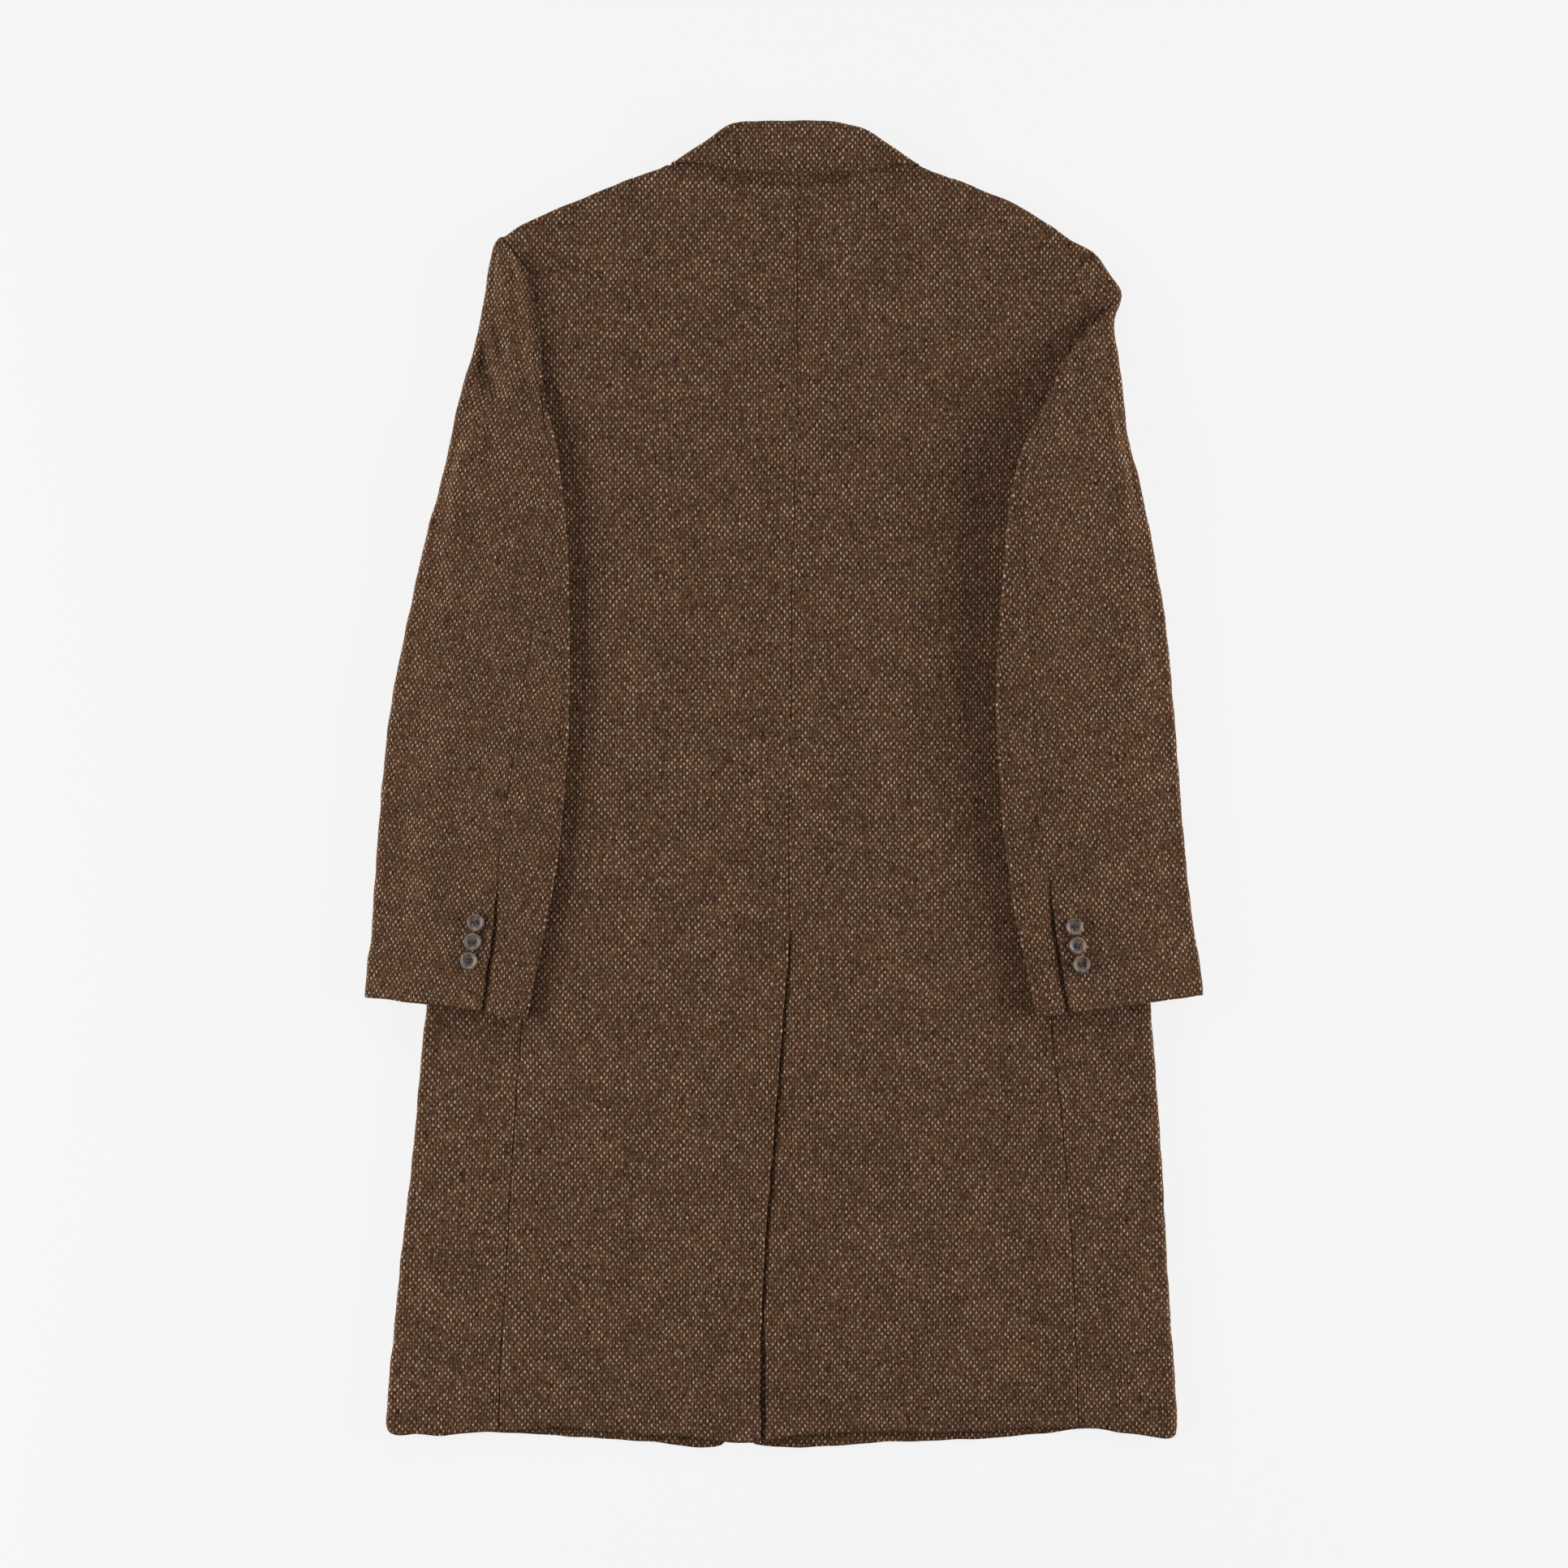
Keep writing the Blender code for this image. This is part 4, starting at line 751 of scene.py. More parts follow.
def back_panel(side, shoulder, outer_edge, hem):
    """Grid of half of the back, from the centre seam to the armhole and side seam."""
    radius = BODY_THICK / 2
    neck_x = LEFT_NECK if side < 0 else RIGHT_NECK
    outer_top = outer_edge["drop"][0]
    ends = (CENTRE["x"][0] + side * SEAM_GAP / 2, outer_edge["x"][0] - side * SEAM_GAP / 2)
    foot = (CENTRE["x"][-1] + side * SEAM_GAP / 2, outer_edge["x"][-1] - side * SEAM_GAP / 2)
    clear = VENT_CLEAR if side > 0 else 0.0

    def top(u):
        x = mix(ends[0], ends[1], u)
        return x, drop_at(shoulder, x)

    def bottom(u):
        x = mix(foot[0] + side * VENT_GAPE["width"][-1] / 2, foot[1], u)
        return x, drop_at(hem, x)

    def inner(v):
        drop = mix(top(np.zeros(1))[1], bottom(np.zeros(1))[1], v)
        gape = vent_gape(drop)
        under = clear * vent_opening(drop) * (1 - ease(gape / VENT_SHUT))
        return x_at(CENTRE, drop) + side * (SEAM_GAP + gape) / 2 + under, drop

    def outer(v):
        drop = mix(outer_top, bottom(np.ones(1))[1], v)
        return x_at(outer_edge, drop) - side * SEAM_GAP / 2, drop

    u, v = np.meshgrid(spread(245), shoulder_rows(), indexing="ij")
    down, turned = shoulder_turn(v, radius)
    x, drop = patch(top, bottom, inner, outer, u, down)
    at_shoulder = ease(side * (mix(ends[0], ends[1], u) - neck_x) / NECK_FADE + 0.5)
    z = BODY_THICK - at_shoulder * turned
    z = z + relief(BODY_CREASES, x, drop) * ease((drop - drop_at(shoulder, x)) / CREASE_START)
    z = z - hem_sag(x, drop)
    if side > 0:
        depth = 1 - ease((x - x_at(CENTRE, drop) - VENT_CLEAR) / VENT_DIP_WIDTH)
        shut = 1 - VENT_RISE * ease(vent_gape(drop) / VENT_OPEN)
        z = z - VENT_DIP * depth * vent_opening(drop) * shut
    else:
        near = np.exp(-(((x_at(CENTRE, drop) - x) / VENT_EDGE_WIDTH) ** 2))
        z = z + smooth(VENT_EDGE["drop"], VENT_EDGE["lift"], drop) * near * vent_opening(drop)
    return np.array([x, drop, z])


def vent_underlap():
    """Grid of the right back's extension under the left back."""
    u, v = np.meshgrid(spread(VENT_UNDERLAP), spread(390), indexing="ij")
    drop = mix(VENT_TOP + UNDERLAP_START, UNDERLAP_HEM, v)
    gape = vent_gape(drop)
    right = x_at(CENTRE, drop) - UNDERLAP_CLEAR
    left = right - VENT_UNDERLAP
    x = mix(right + (UNDERLAP_CLEAR + UNDERLAP_REACH) * ease(gape / VENT_OPEN), left, u)
    return np.array([x, drop, np.full_like(x, BODY_THICK - VENT_DIP + UNDERLAP_LIFT)])


def side_body(side, armhole, back_seam, fold, hem_drops):
    """Grid of an underarm panel: from the back seam, round the side fold, to the front seam underneath."""
    armpit = fold["drop"][0]
    front_top = armpit - underarm_slope(armhole, fold) * SIDE_SEAM_INSET
    columns = fold_columns(75, GRID, OUTER_TURN, OUTER_BEND, 15, 0.7)
    u, v = np.meshgrid(columns, spread(890), indexing="ij")
    seam_drop = mix(armhole["drop"][-1] + UNDERARM_GAP, hem_drops[0], v)
    fold_drop = mix(armpit + UNDERARM_GAP, hem_drops[1], v)
    front_drop = mix(front_top + UNDERARM_GAP, hem_drops[2], v)
    start = (x_at(back_seam, seam_drop) + side * SEAM_GAP / 2, seam_drop, BODY_THICK)
    edge = (x_at(fold, fold_drop), fold_drop, BODY_THICK, 0.0)
    end = (x_at(fold, front_drop) - side * (SIDE_SEAM_INSET - SEAM_GAP / 2), front_drop, 0.0)
    grid = wrap(u, start, edge, end, side)
    upper = 1 - between(SIDE_FADE, OUTER_TURN[0], u)
    grid[2] += (relief(BODY_CREASES, grid[0], grid[1]) - hem_sag(grid[0], grid[1])) * upper
    return grid


def front_panel(side, top_edge, armhole, fold, front_edge, lapel, hem):
    """Grid of a front on the floor: raised where it lies on its lapel, turned up at the shoulder."""
    radius = BODY_THICK / 2
    lip_x = LEFT_LIP if side < 0 else RIGHT_LIP
    seam_inset = SIDE_SEAM_INSET + FRONT_SEAM_GAP
    corner_drop = fold["drop"][0] - underarm_slope(armhole, fold) * seam_inset
    outer_edge = {
        "drop": np.concatenate([armhole["drop"], [corner_drop + UNDERARM_GAP], fold["drop"][1:]]),
        "x": np.concatenate([armhole["x"] - side * ARMHOLE_GAP, fold["x"] - side * seam_inset]),
    }
    inner_end, outer_end = (-1, 0) if side < 0 else (0, -1)
    top_x = (top_edge["x"][inner_end], top_edge["x"][outer_end])
    hem_x = (hem["x"][inner_end], hem["x"][outer_end])

    def top(u):
        x = mix(top_x[0], top_x[1], u)
        return x, drop_at(top_edge, x)

    def bottom(u):
        x = mix(hem_x[0], hem_x[1], u)
        return x, drop_at(hem, x)

    def inner(v):
        drop = mix(top_edge["drop"][inner_end], hem["drop"][inner_end], v)
        return x_at(front_edge, drop), drop

    def outer(v):
        drop = mix(top_edge["drop"][outer_end], hem["drop"][outer_end], v)
        return x_at(outer_edge, drop), drop

    u, v = np.meshgrid(spread(260), shoulder_rows(), indexing="ij")
    down, turned = shoulder_turn(v, radius)
    x, drop = patch(top, bottom, inner, outer, u, down)
    past = side * (x - x_at(lapel, drop)) - smooth(LAPEL_MARGIN["drop"], LAPEL_MARGIN["width"], drop)
    below = (drop - LAPEL_FADE[0]) / (LAPEL_FADE[1] - LAPEL_FADE[0])
    raised = LAPEL_LIFT * (1 - ease(past / LAPEL_FEATHER)) * (1 - ease(below))
    at_shoulder = ease(side * (mix(top_x[0], top_x[1], u) - lip_x) / NECK_FADE + 0.5)
    return np.array([x, drop, at_shoulder * turned + raised])


def lapel_leaf(side, front_edge, lapel):
    """Grid of a lapel turned back under its front."""
    u, v = np.meshgrid(spread(100), spread(285), indexing="ij")
    roll_drop = mix(LAPEL_TOP, LAPEL_END, v)
    outer_drop = mix(LAPEL_POINT, LAPEL_END, v)
    roll = x_at(front_edge, roll_drop) + side * ROLL_GAP
    x = mix(roll, x_at(lapel, outer_drop), u)
    return np.array([x, mix(roll_drop, outer_drop, u), np.zeros_like(x)])


def outline(edge, along):
    return smooth(edge["along"], edge["x"], along), smooth(edge["along"], edge["drop"], along)


def collar_back():
    """Grid of the collar's fall over the back of the neck."""
    share = 0.3
    rows = np.concatenate([np.linspace(0, share, 9)[:-1], mix(share, 1, spread(40, COLLAR_GRID))])
    u, v = np.meshgrid(spread(250, COLLAR_GRID), rows, indexing="ij")
    start = outline(COLLAR_OUTLINE, u)
    end = outline(COLLAR_EDGE, u)
    width = np.hypot(end[0] - start[0], end[1] - start[1])
    radius = np.minimum(COLLAR_ROLL, COLLAR_ROLL_SHARE * width)
    inset, turned = lip(v, share, 1.0)
    down = np.where(v < share, radius * inset, mix(radius, width, (v - share) / (1 - share))) / width
    crown = mix(COLLAR_ROLL_TOP, COLLAR_EDGE_TOP, ease(down))
    crown = crown - COLLAR_TIP_DROP * (1 - ease(np.minimum(u, 1 - u) / COLLAR_TIP))
    z = crown - turned * (crown - COLLAR_MID - SEAM_GAP / 2)
    x = mix(start[0], end[0], down)
    drop = mix(start[1], end[1], down)
    z = z + COLLAR_UNEVEN * waves(x, drop, COLLAR_WAVES, 6) * ease((v - share) / share)
    return np.array([x, drop, z])


def collar_front(side, along, lapel, front_edge):
    """Grid of a collar end that turns round the shoulder and lies under the front of the neck."""
    share = 0.2
    rows = np.concatenate([np.linspace(0, share, 7)[:-1], mix(share, 1, spread(70))])
    u, v = np.meshgrid(spread(70), rows, indexing="ij")
    start = outline(COLLAR_OUTLINE, mix(along[0], along[1], u))
    inset, turned = lip(v, share, 1.0)
    corner = x_at(lapel, COLLAR_FRONT_DROP) - side * ROLL_GAP
    roll = x_at(front_edge, COLLAR_FRONT_DROP) + side * ROLL_GAP
    far = (mix(corner, roll, u), COLLAR_FRONT_DROP)
    width = np.hypot(far[0] - start[0], far[1] - start[1])
    flat = mix(COLLAR_ROLL, width, (v - share) / (1 - share))
    down = np.where(v < share, COLLAR_ROLL * inset, flat) / width
    z = turned * (COLLAR_MID - SEAM_GAP / 2)
    return np.array([mix(start[0], far[0], down), mix(start[1], far[1], down), z])


def collar_stand():
    """Grid of the stand between the neck seam and the roll, hidden under the fall."""
    sides = table("drop left right", (7.2, -30, 45), (40.6, -88, 106))
    u, v = np.meshgrid(spread(150), spread(33), indexing="ij")
    left = mix(sides["left"][0], sides["left"][1], v)
    right = mix(sides["right"][0], sides["right"][1], v)
    x = mix(left, right, u)
    neck = np.where(x < CENTRE["x"][0], drop_at(LEFT_SHOULDER, x), drop_at(RIGHT_SHOULDER, x)) - ROLL_GAP
    return np.array([x, mix(sides["drop"][0], neck, v), np.full_like(x, BODY_THICK)])


def sleeve_line(rows, v, first):
    """Interpolated section line of a sleeve at v from 0, at row number first, to 1 at the cuff."""
    number = np.arange(len(rows["seam_drop"]), dtype=float)
    at = mix(first, number[-1], v)
    return {column: smooth(number, rows[column], at) for column in rows}


def sleeve_rows(rows, first):
    """Sample positions along a sleeve, about the grid spacing apart and closer at the cuff."""
    gaps = np.diff(rows["outer_drop"][first:])
    count = len(gaps)
    found = [np.zeros(1)]
    for number, gap in enumerate(gaps):
        steps = max(3, round(gap / GRID))
        found.append((number + np.linspace(0, 1, steps + 1)[1:]) / count)
    found = np.concatenate(found)
    cuff = 1 - EDGE_STEPS / gaps[-1] / count
    return np.unique(np.concatenate([found[found < cuff[-1]], cuff]))


def sleeve_crest(side, line, seam_x, outer_x, under_x):
    """Where a sleeve's upper face starts to fall to the outer fold, above the seam underneath."""
    share = (under_x - seam_x) / (outer_x - side * SLEEVE_THICK / 2 - seam_x)
    return np.clip(share, *CREST_SHARE), np.minimum(line["inner_top"], SHELF + SLEEVE_THICK)


def cuff_vent(grid):
    """Where a sleeve piece lies beside its cuff's vent, from 0 to 1."""
    return between(*CUFF_VENT, grid[1]) * np.exp(-((lengths_along(grid, 0) / CUFF_VENT_WIDTH) ** 2))


def sleeve_seam(grid):
    """Depth of a sleeve's back seam along its length: shallow, and deeper at the cuff's vent."""
    drop = grid[1][:1]
    below = mix(*SLEEVE_SEAM_DEPTH, between(SLEEVE_START, SLEEVE_START + SEAM_CHANGE, drop))
    return below + CUFF_VENT_DEPTH * between(*CUFF_VENT, drop)


def top_sleeve(arm):
    """Grid of an upper sleeve piece: armhole or back seam, over the outer fold, to the seam underneath."""
    side = arm["side"]
    columns = fold_columns(95, FINE_GRID, OUTER_TURN, OUTER_BEND, 15, 0.7)
    u, v = np.meshgrid(columns, sleeve_rows(arm["rows"], 0), indexing="ij")
    line = sleeve_line(arm["rows"], v, 0)
    seam_x = x_at(arm["seam"], line["seam_drop"]) + side * SEAM_GAP / 2
    fold_x = x_at(arm["outer"], line["outer_drop"])
    under_x = x_at(arm["under"], line["under_drop"]) + side * SEAM_GAP / 2
    start = (seam_x, line["seam_drop"], line["inner_top"])
    fold = (fold_x, line["outer_drop"], line["outer_top"], line["outer_low"])
    end = (under_x, line["under_drop"], line["under_low"])
    grid = wrap(u, start, fold, end, side, crest=sleeve_crest(side, line, seam_x, fold_x, under_x))
    near_armhole = 1 - ease(lengths_along(grid, 0) / ARMHOLE_BLEND)
    at_armhole = (1 - between(*ARMHOLE_END, line["seam_drop"])) * near_armhole
    height = mix(relief(arm["creases"], grid[0], grid[1]), relief(BODY_CREASES, grid[0], grid[1]), at_armhole)
    grid[2] += height * (1 - between(TOP_FADE, OUTER_TURN[0], u))
    grid[2] += CUFF_VENT_LIFT * cuff_vent(grid)
    return grid


def under_sleeve(arm):
    """Grid of a lower sleeve piece: back seam, round the inner fold, to the seam underneath."""
    side = arm["side"]
    columns = fold_columns(30, FINE_GRID, INNER_TURN, INNER_TURN[0], 25, 0.6)
    u, v = np.meshgrid(columns, sleeve_rows(arm["rows"], arm["tube"]), indexing="ij")
    line = sleeve_line(arm["rows"], v, arm["tube"])
    seam_x = x_at(arm["seam"], line["seam_drop"]) - side * SLEEVE_SEAM_GAP
    fold_x = x_at(arm["inner"], line["inner_drop"])
    under_x = x_at(arm["under"], line["under_drop"]) - side * SEAM_GAP / 2
    low = np.minimum(np.maximum(line["under_low"], SHELF), line["inner_low"])
    start = (seam_x, line["seam_drop"] - SLEEVE_SEAM_GAP, line["inner_top"])
    fold = (fold_x, line["inner_drop"], line["inner_top"], line["inner_low"])
    end = (under_x, line["under_drop"], low)
    reach = smooth(arm["reach"]["drop"], arm["reach"]["reach"], line["inner_drop"])
    reach = np.minimum(reach, FALL_SHARE * abs(fold_x - seam_x))
    grid = wrap(u, start, fold, end, -side, INNER_TURN, reach=reach)
    grid[2] += relief(arm["creases"], grid[0], grid[1]) * (1 - between(*UNDER_FADE, u))
    grid[2] -= CUFF_VENT_SINK * cuff_vent(grid)
    return grid


def sleeve_top_at(arm, x, drop):
    """Height of a sleeve's upper face between its back seam and its crest, near the cuff."""
    inner_top = smooth(arm["rows"]["seam_drop"], arm["rows"]["inner_top"], drop)
    seam_x = x_at(arm["seam"], drop)
    share = (x - seam_x) / (x_at(arm["under"], drop) - seam_x)
    return mix(inner_top, SHELF + SLEEVE_THICK, ease(share))


def plan_weave(grid, shift=(0.0, 0.0)):
    """Place on the cloth of a panel that lies flat."""
    return np.array([grid[0] + shift[0], grid[1] + shift[1]])


def wrapped_weave(grid, side, lean, shift, across=1.0):
    """Place on the cloth of a panel that turns round a fold; its grain leans outwards down its length."""
    plan = grid.copy()
    plan[2] = 0.0
    turned = lengths_along(grid, 0) - lengths_along(plan, 0)
    out = side * grid[0] * math.cos(lean) - grid[1] * math.sin(lean)
    down = side * grid[0] * math.sin(lean) + grid[1] * math.cos(lean)
    return np.array([side * (across * (out + turned) + shift[0]), down + shift[1]])


def put(tree, socket, value):
    """Link a socket to another, or set its value."""
    if isinstance(value, bpy.types.NodeSocket):
        tree.links.new(value, socket)
    else:
        socket.default_value = value


def new_material(name):
    """A material, its node tree and its shader."""
    made = bpy.data.materials.new(name)
    made.use_nodes = True
    return made, made.node_tree, made.node_tree.nodes["Principled BSDF"]


def set_inputs(node, **values):
    """Set a node's sockets, each named with an underscore for a space."""
    for name, value in values.items():
        node.inputs[name.replace("_", " ")].default_value = value


def maths(tree, operation, *values, kind="ShaderNodeMath"):
    node = tree.nodes.new(kind)
    node.operation = operation
    for socket, value in zip(node.inputs, values):
        put(tree, socket, value)
    return node.outputs[0]


def vectors(tree, operation, *values):
    return maths(tree, operation, *values, kind="ShaderNodeVectorMath")


def split(tree, vector):
    node = tree.nodes.new("ShaderNodeSeparateXYZ")
    put(tree, node.inputs[0], vector)
    return node.outputs


def remap(tree, value, low, high, to_low=0.0, to_high=1.0, smoothly=True):
    node = tree.nodes.new("ShaderNodeMapRange")
    node.interpolation_type = "SMOOTHSTEP" if smoothly else "LINEAR"
    for socket, setting in zip(node.inputs, (value, low, high, to_low, to_high)):
        put(tree, socket, setting)
    return node.outputs[0]


def noise(tree, vector, scale, detail=2.0):
    node = tree.nodes.new("ShaderNodeTexNoise")
    put(tree, node.inputs["Vector"], vector)
    node.inputs["Scale"].default_value = scale
    node.inputs["Detail"].default_value = detail
    return node.outputs


def ramp(tree, value, stops):
    node = tree.nodes.new("ShaderNodeValToRGB")
    elements = node.color_ramp.elements
    while len(elements) < len(stops):
        elements.new(0.5)
    for element, (position, colour) in zip(elements, stops):
        element.position = position
        element.color = (*colour, 1)
    put(tree, node.inputs[0], value)
    return node.outputs[0]


def blend(tree, factor, a, b, how="MIX"):
    node = tree.nodes.new("ShaderNodeMix")
    node.data_type = "RGBA"
    node.blend_type = how
    put(tree, node.inputs["Factor"], factor)
    put(tree, node.inputs[6], a)
    put(tree, node.inputs[7], b)
    return node.outputs[2]


def shade(tree, colour, factor):
    """A colour made lighter or darker by a factor."""
    return blend(tree, 1.0, colour, vectors(tree, "MULTIPLY", (1, 1, 1), factor), "MULTIPLY")


def flecks(tree, cells, shift, ragged):
    """One lattice of pale weft flecks: its mask, the tone of each fleck, and the ring round it where shade is
    painted.
    """
    place = vectors(tree, "ADD", cells, shift)
    number = vectors(tree, "FLOOR", place)
    chance = []
    for seed in (3.7, 21.3):
        white = tree.nodes.new("ShaderNodeTexWhiteNoise")
        white.noise_dimensions = "3D"
        put(tree, white.inputs["Vector"], vectors(tree, "ADD", number, (0, 0, seed + shift[0])))
        chance.append((white.outputs["Value"], split(tree, white.outputs["Color"])))
    (tone, (first, second, third)), (present, (wide, tall, _)) = chance
    local = split(tree, vectors(tree, "SUBTRACT", place, number))
    dx = maths(tree, "SUBTRACT", local[0], remap(tree, first, 0, 1, 0.44, 0.56, False))
    dy = maths(tree, "SUBTRACT", local[1], remap(tree, second, 0, 1, 0.45, 0.55, False))
    lean = maths(tree, "MULTIPLY", dy, remap(tree, third, 0, 1, -0.1, 0.25, False))
    dx = maths(tree, "DIVIDE", maths(tree, "ADD", dx, lean), remap(tree, wide, 0, 1, 0.094, 0.122, False))
    dy = maths(tree, "DIVIDE", dy, remap(tree, tall, 0, 1, 0.142, 0.19, False))
    away = maths(tree, "ADD", maths(tree, "MULTIPLY", dx, dx), maths(tree, "MULTIPLY", dy, dy))
    frayed = maths(tree, "ADD", away, ragged)
    shown = remap(tree, present, 0.02, 0.25, 0.25, 1.0)
    mask = maths(tree, "MULTIPLY", remap(tree, frayed, 3.0, -0.8), shown)
    return mask, tone, remap(tree, away, 9.0, 1.0)


def tweed():
    """Barleycorn tweed: pale flecks on a staggered lattice over a mottled brown ground, with shade painted
    round each fleck.
    """
    made, tree, shader = new_material("barleycorn_tweed")
    place = tree.nodes.new("ShaderNodeUVMap")
    place.uv_map = "weave"
    uv = place.outputs[0]
    cells = vectors(tree, "MULTIPLY", uv, (1 / (WEAVE_ACROSS * MM), 1 / (WEAVE_ALONG * MM), 0))
    drift = noise(tree, uv, 45.0, 2.0)["Color"]
    drift = vectors(tree, "MULTIPLY", vectors(tree, "SUBTRACT", drift, (0.5, 0.5, 0.5)), (0.4, 0.4, 0))
    cells = vectors(tree, "ADD", cells, drift)
    fibre = noise(tree, vectors(tree, "MULTIPLY", uv, (1.0, 0.6, 1.0)), 1700.0, 3.0)["Fac"]
    ragged = remap(tree, fibre, 0.25, 0.75, -1.1, 1.1, False)
    mask_a, tone_a, shade_ring_a = flecks(tree, cells, (0.0, 0.0, 0.0), ragged)
    mask_b, tone_b, shade_ring_b = flecks(tree, cells, (0.5, 0.5, 0.0), ragged)
    mask = maths(tree, "MAXIMUM", mask_a, mask_b)
    shade_ring = maths(tree, "MAXIMUM", shade_ring_a, shade_ring_b)
    later = maths(tree, "GREATER_THAN", mask_b, mask_a)
    earlier = maths(tree, "SUBTRACT", 1.0, later)
    tone_a = maths(tree, "MULTIPLY", tone_a, earlier)
    tone = maths(tree, "ADD", maths(tree, "MULTIPLY", tone_b, later), tone_a)
    fleck = ramp(
        tree,
        tone,
        (
            (0.0, (0.200, 0.121, 0.075)),
            (0.2, (0.300, 0.193, 0.127)),
            (0.6, (0.445, 0.309, 0.209)),
            (0.84, (0.605, 0.444, 0.311)),
            (0.9, (0.330, 0.198, 0.077)),
            (0.96, (0.220, 0.094, 0.044)),
            (1.0, (0.530, 0.408, 0.298)),
        ),
    )
    stretched = vectors(tree, "MULTIPLY", uv, (1.0, 0.45, 1.0))
    patches = noise(tree, stretched, 190.0, 2.0)["Fac"]
    ground = ramp(
        tree,
        patches,
        (
            (0.30, (0.025, 0.012, 0.0065)),
            (0.42, (0.064, 0.028, 0.0155)),
            (0.50, (0.049, 0.024, 0.0130)),
            (0.58, (0.051, 0.030, 0.0152)),
            (0.66, (0.079, 0.035, 0.0165)),
            (0.74, (0.081, 0.049, 0.0225)),
        ),
    )
    dashes = noise(tree, vectors(tree, "MULTIPLY", uv, (1.0, 0.5, 1.0)), 640.0, 1.0)["Fac"]
    dashes = remap(tree, dashes, 0.35, 0.65, 0.5, 1.6)
    # Painted shade: the ground is darker in the ring round each fleck and a little lighter away from the
    # flecks; grain carries this together with the random fibre tone
    fleck_shade = maths(tree, "MULTIPLY", remap(tree, shade_ring, 0, 1, 1.15, 0.82), dashes)
    grain = maths(tree, "MULTIPLY", fleck_shade, remap(tree, fibre, 0.3, 0.7, 0.7, 1.35))
    fleck = shade(tree, fleck, remap(tree, fibre, 0.25, 0.75, 0.75, 1.25))
    colour = blend(tree, mask, shade(tree, ground, grain), fleck)
    broad = remap(tree, noise(tree, uv, 28.0, 2.0)["Fac"], 0.3, 0.7, 0.9, 1.1)
    put(tree, shader.inputs["Base Color"], shade(tree, colour, broad))
    height = maths(tree, "ADD", maths(tree, "MULTIPLY", mask, 0.7), maths(tree, "MULTIPLY", fibre, 0.5))
    bump = tree.nodes.new("ShaderNodeBump")
    set_inputs(bump, Strength=0.35, Distance=0.0007)
    put(tree, bump.inputs["Height"], height)
    put(tree, shader.inputs["Normal"], bump.outputs[0])
    set_inputs(shader, Roughness=0.95, Specular_IOR_Level=0.05)
    set_inputs(shader, Sheen_Weight=0.08, Sheen_Roughness=0.5, Sheen_Tint=(0.65, 0.45, 0.3, 1))
    return made


def horn():
    """Polished horn: dark grey-brown with paler streaks and bronze patches."""
    made, tree, shader = new_material("polished_horn")
    place = tree.nodes.new("ShaderNodeTexCoord").outputs["Object"]
    streaks = noise(tree, vectors(tree, "MULTIPLY", place, (1.0, 0.35, 1.0)), 260.0, 3.0)["Fac"]
    colour = ramp(
        tree,
        streaks,
        (
            (0.30, (0.046, 0.032, 0.029)),
            (0.45, (0.088, 0.066, 0.061)),
            (0.56, (0.130, 0.103, 0.097)),
            (0.63, (0.260, 0.125, 0.048)),
            (0.72, (0.080, 0.048, 0.034)),
        ),
    )
    put(tree, shader.inputs["Base Color"], colour)
    put(tree, shader.inputs["Roughness"], remap(tree, streaks, 0.3, 0.7, 0.46, 0.58))
    set_inputs(shader, Coat_Weight=0.1, Coat_Roughness=0.3)
    return made


def plain(name, colour, roughness):
    """Thread or hair: a colour with a little variation along it."""
    made, tree, shader = new_material(name)
    place = tree.nodes.new("ShaderNodeTexCoord").outputs["Object"]
    dark = tuple(0.6 * part for part in colour)
    light = tuple(1.5 * part for part in colour)
    varied = ramp(tree, noise(tree, place, 350.0)["Fac"], ((0.35, dark), (0.65, light)))
    put(tree, shader.inputs["Base Color"], varied)
    set_inputs(shader, Roughness=roughness)
    return made


def hair(chance, root, way, length, radius):
    """Closed tapered strand: its points and triangles, bent a little at random."""
    way = way / np.linalg.norm(way)
    across = np.cross(way, (0.31, 0.27, 0.91))
    across = across / np.linalg.norm(across)
    aside = np.cross(way, across)
    bend = 0.25 * length * chance.normal(size=3)
    rings = []
    for share, size in ((0.0, 1.0), (0.5, 0.8)):
        centre = root + way * length * share + bend * share * share
        for k in range(HAIR_SIDES):
            angle = 2 * math.pi * k / HAIR_SIDES
            rings.append(centre + size * radius * (math.cos(angle) * across + math.sin(angle) * aside))
    points = [*rings, root + way * length + bend]
    triangles = [(2, 1, 0)]
    for k in range(HAIR_SIDES):
        after = (k + 1) % HAIR_SIDES
        triangles += [(k, after, after + 3), (k, after + 3, k + 3), (k + 3, after + 3, 6)]
    return points, triangles


def faces_of(pieces):
    """Corners in millimetres, normals and areas of all the four-sided faces of some pieces."""
    corners, normals, areas = [], [], []
    for piece in pieces:
        mesh = piece.data
        places = np.zeros(3 * len(mesh.vertices), dtype=np.float32)
        mesh.vertices.foreach_get("co", places)
        loops = np.zeros(len(mesh.loops), dtype=np.int32)
        mesh.loops.foreach_get("vertex_index", loops)
        corners.append(places.reshape(-1, 3)[loops.reshape(-1, 4)])
        for found, field, width in ((normals, "normal", 3), (areas, "area", 1)):
            values = np.zeros(width * len(mesh.polygons), dtype=np.float32)
            mesh.polygons.foreach_get(field, values)
            found.append(values.reshape(-1, width))
    return np.concatenate(corners) / MM, np.concatenate(normals), np.concatenate(areas)[:, 0]


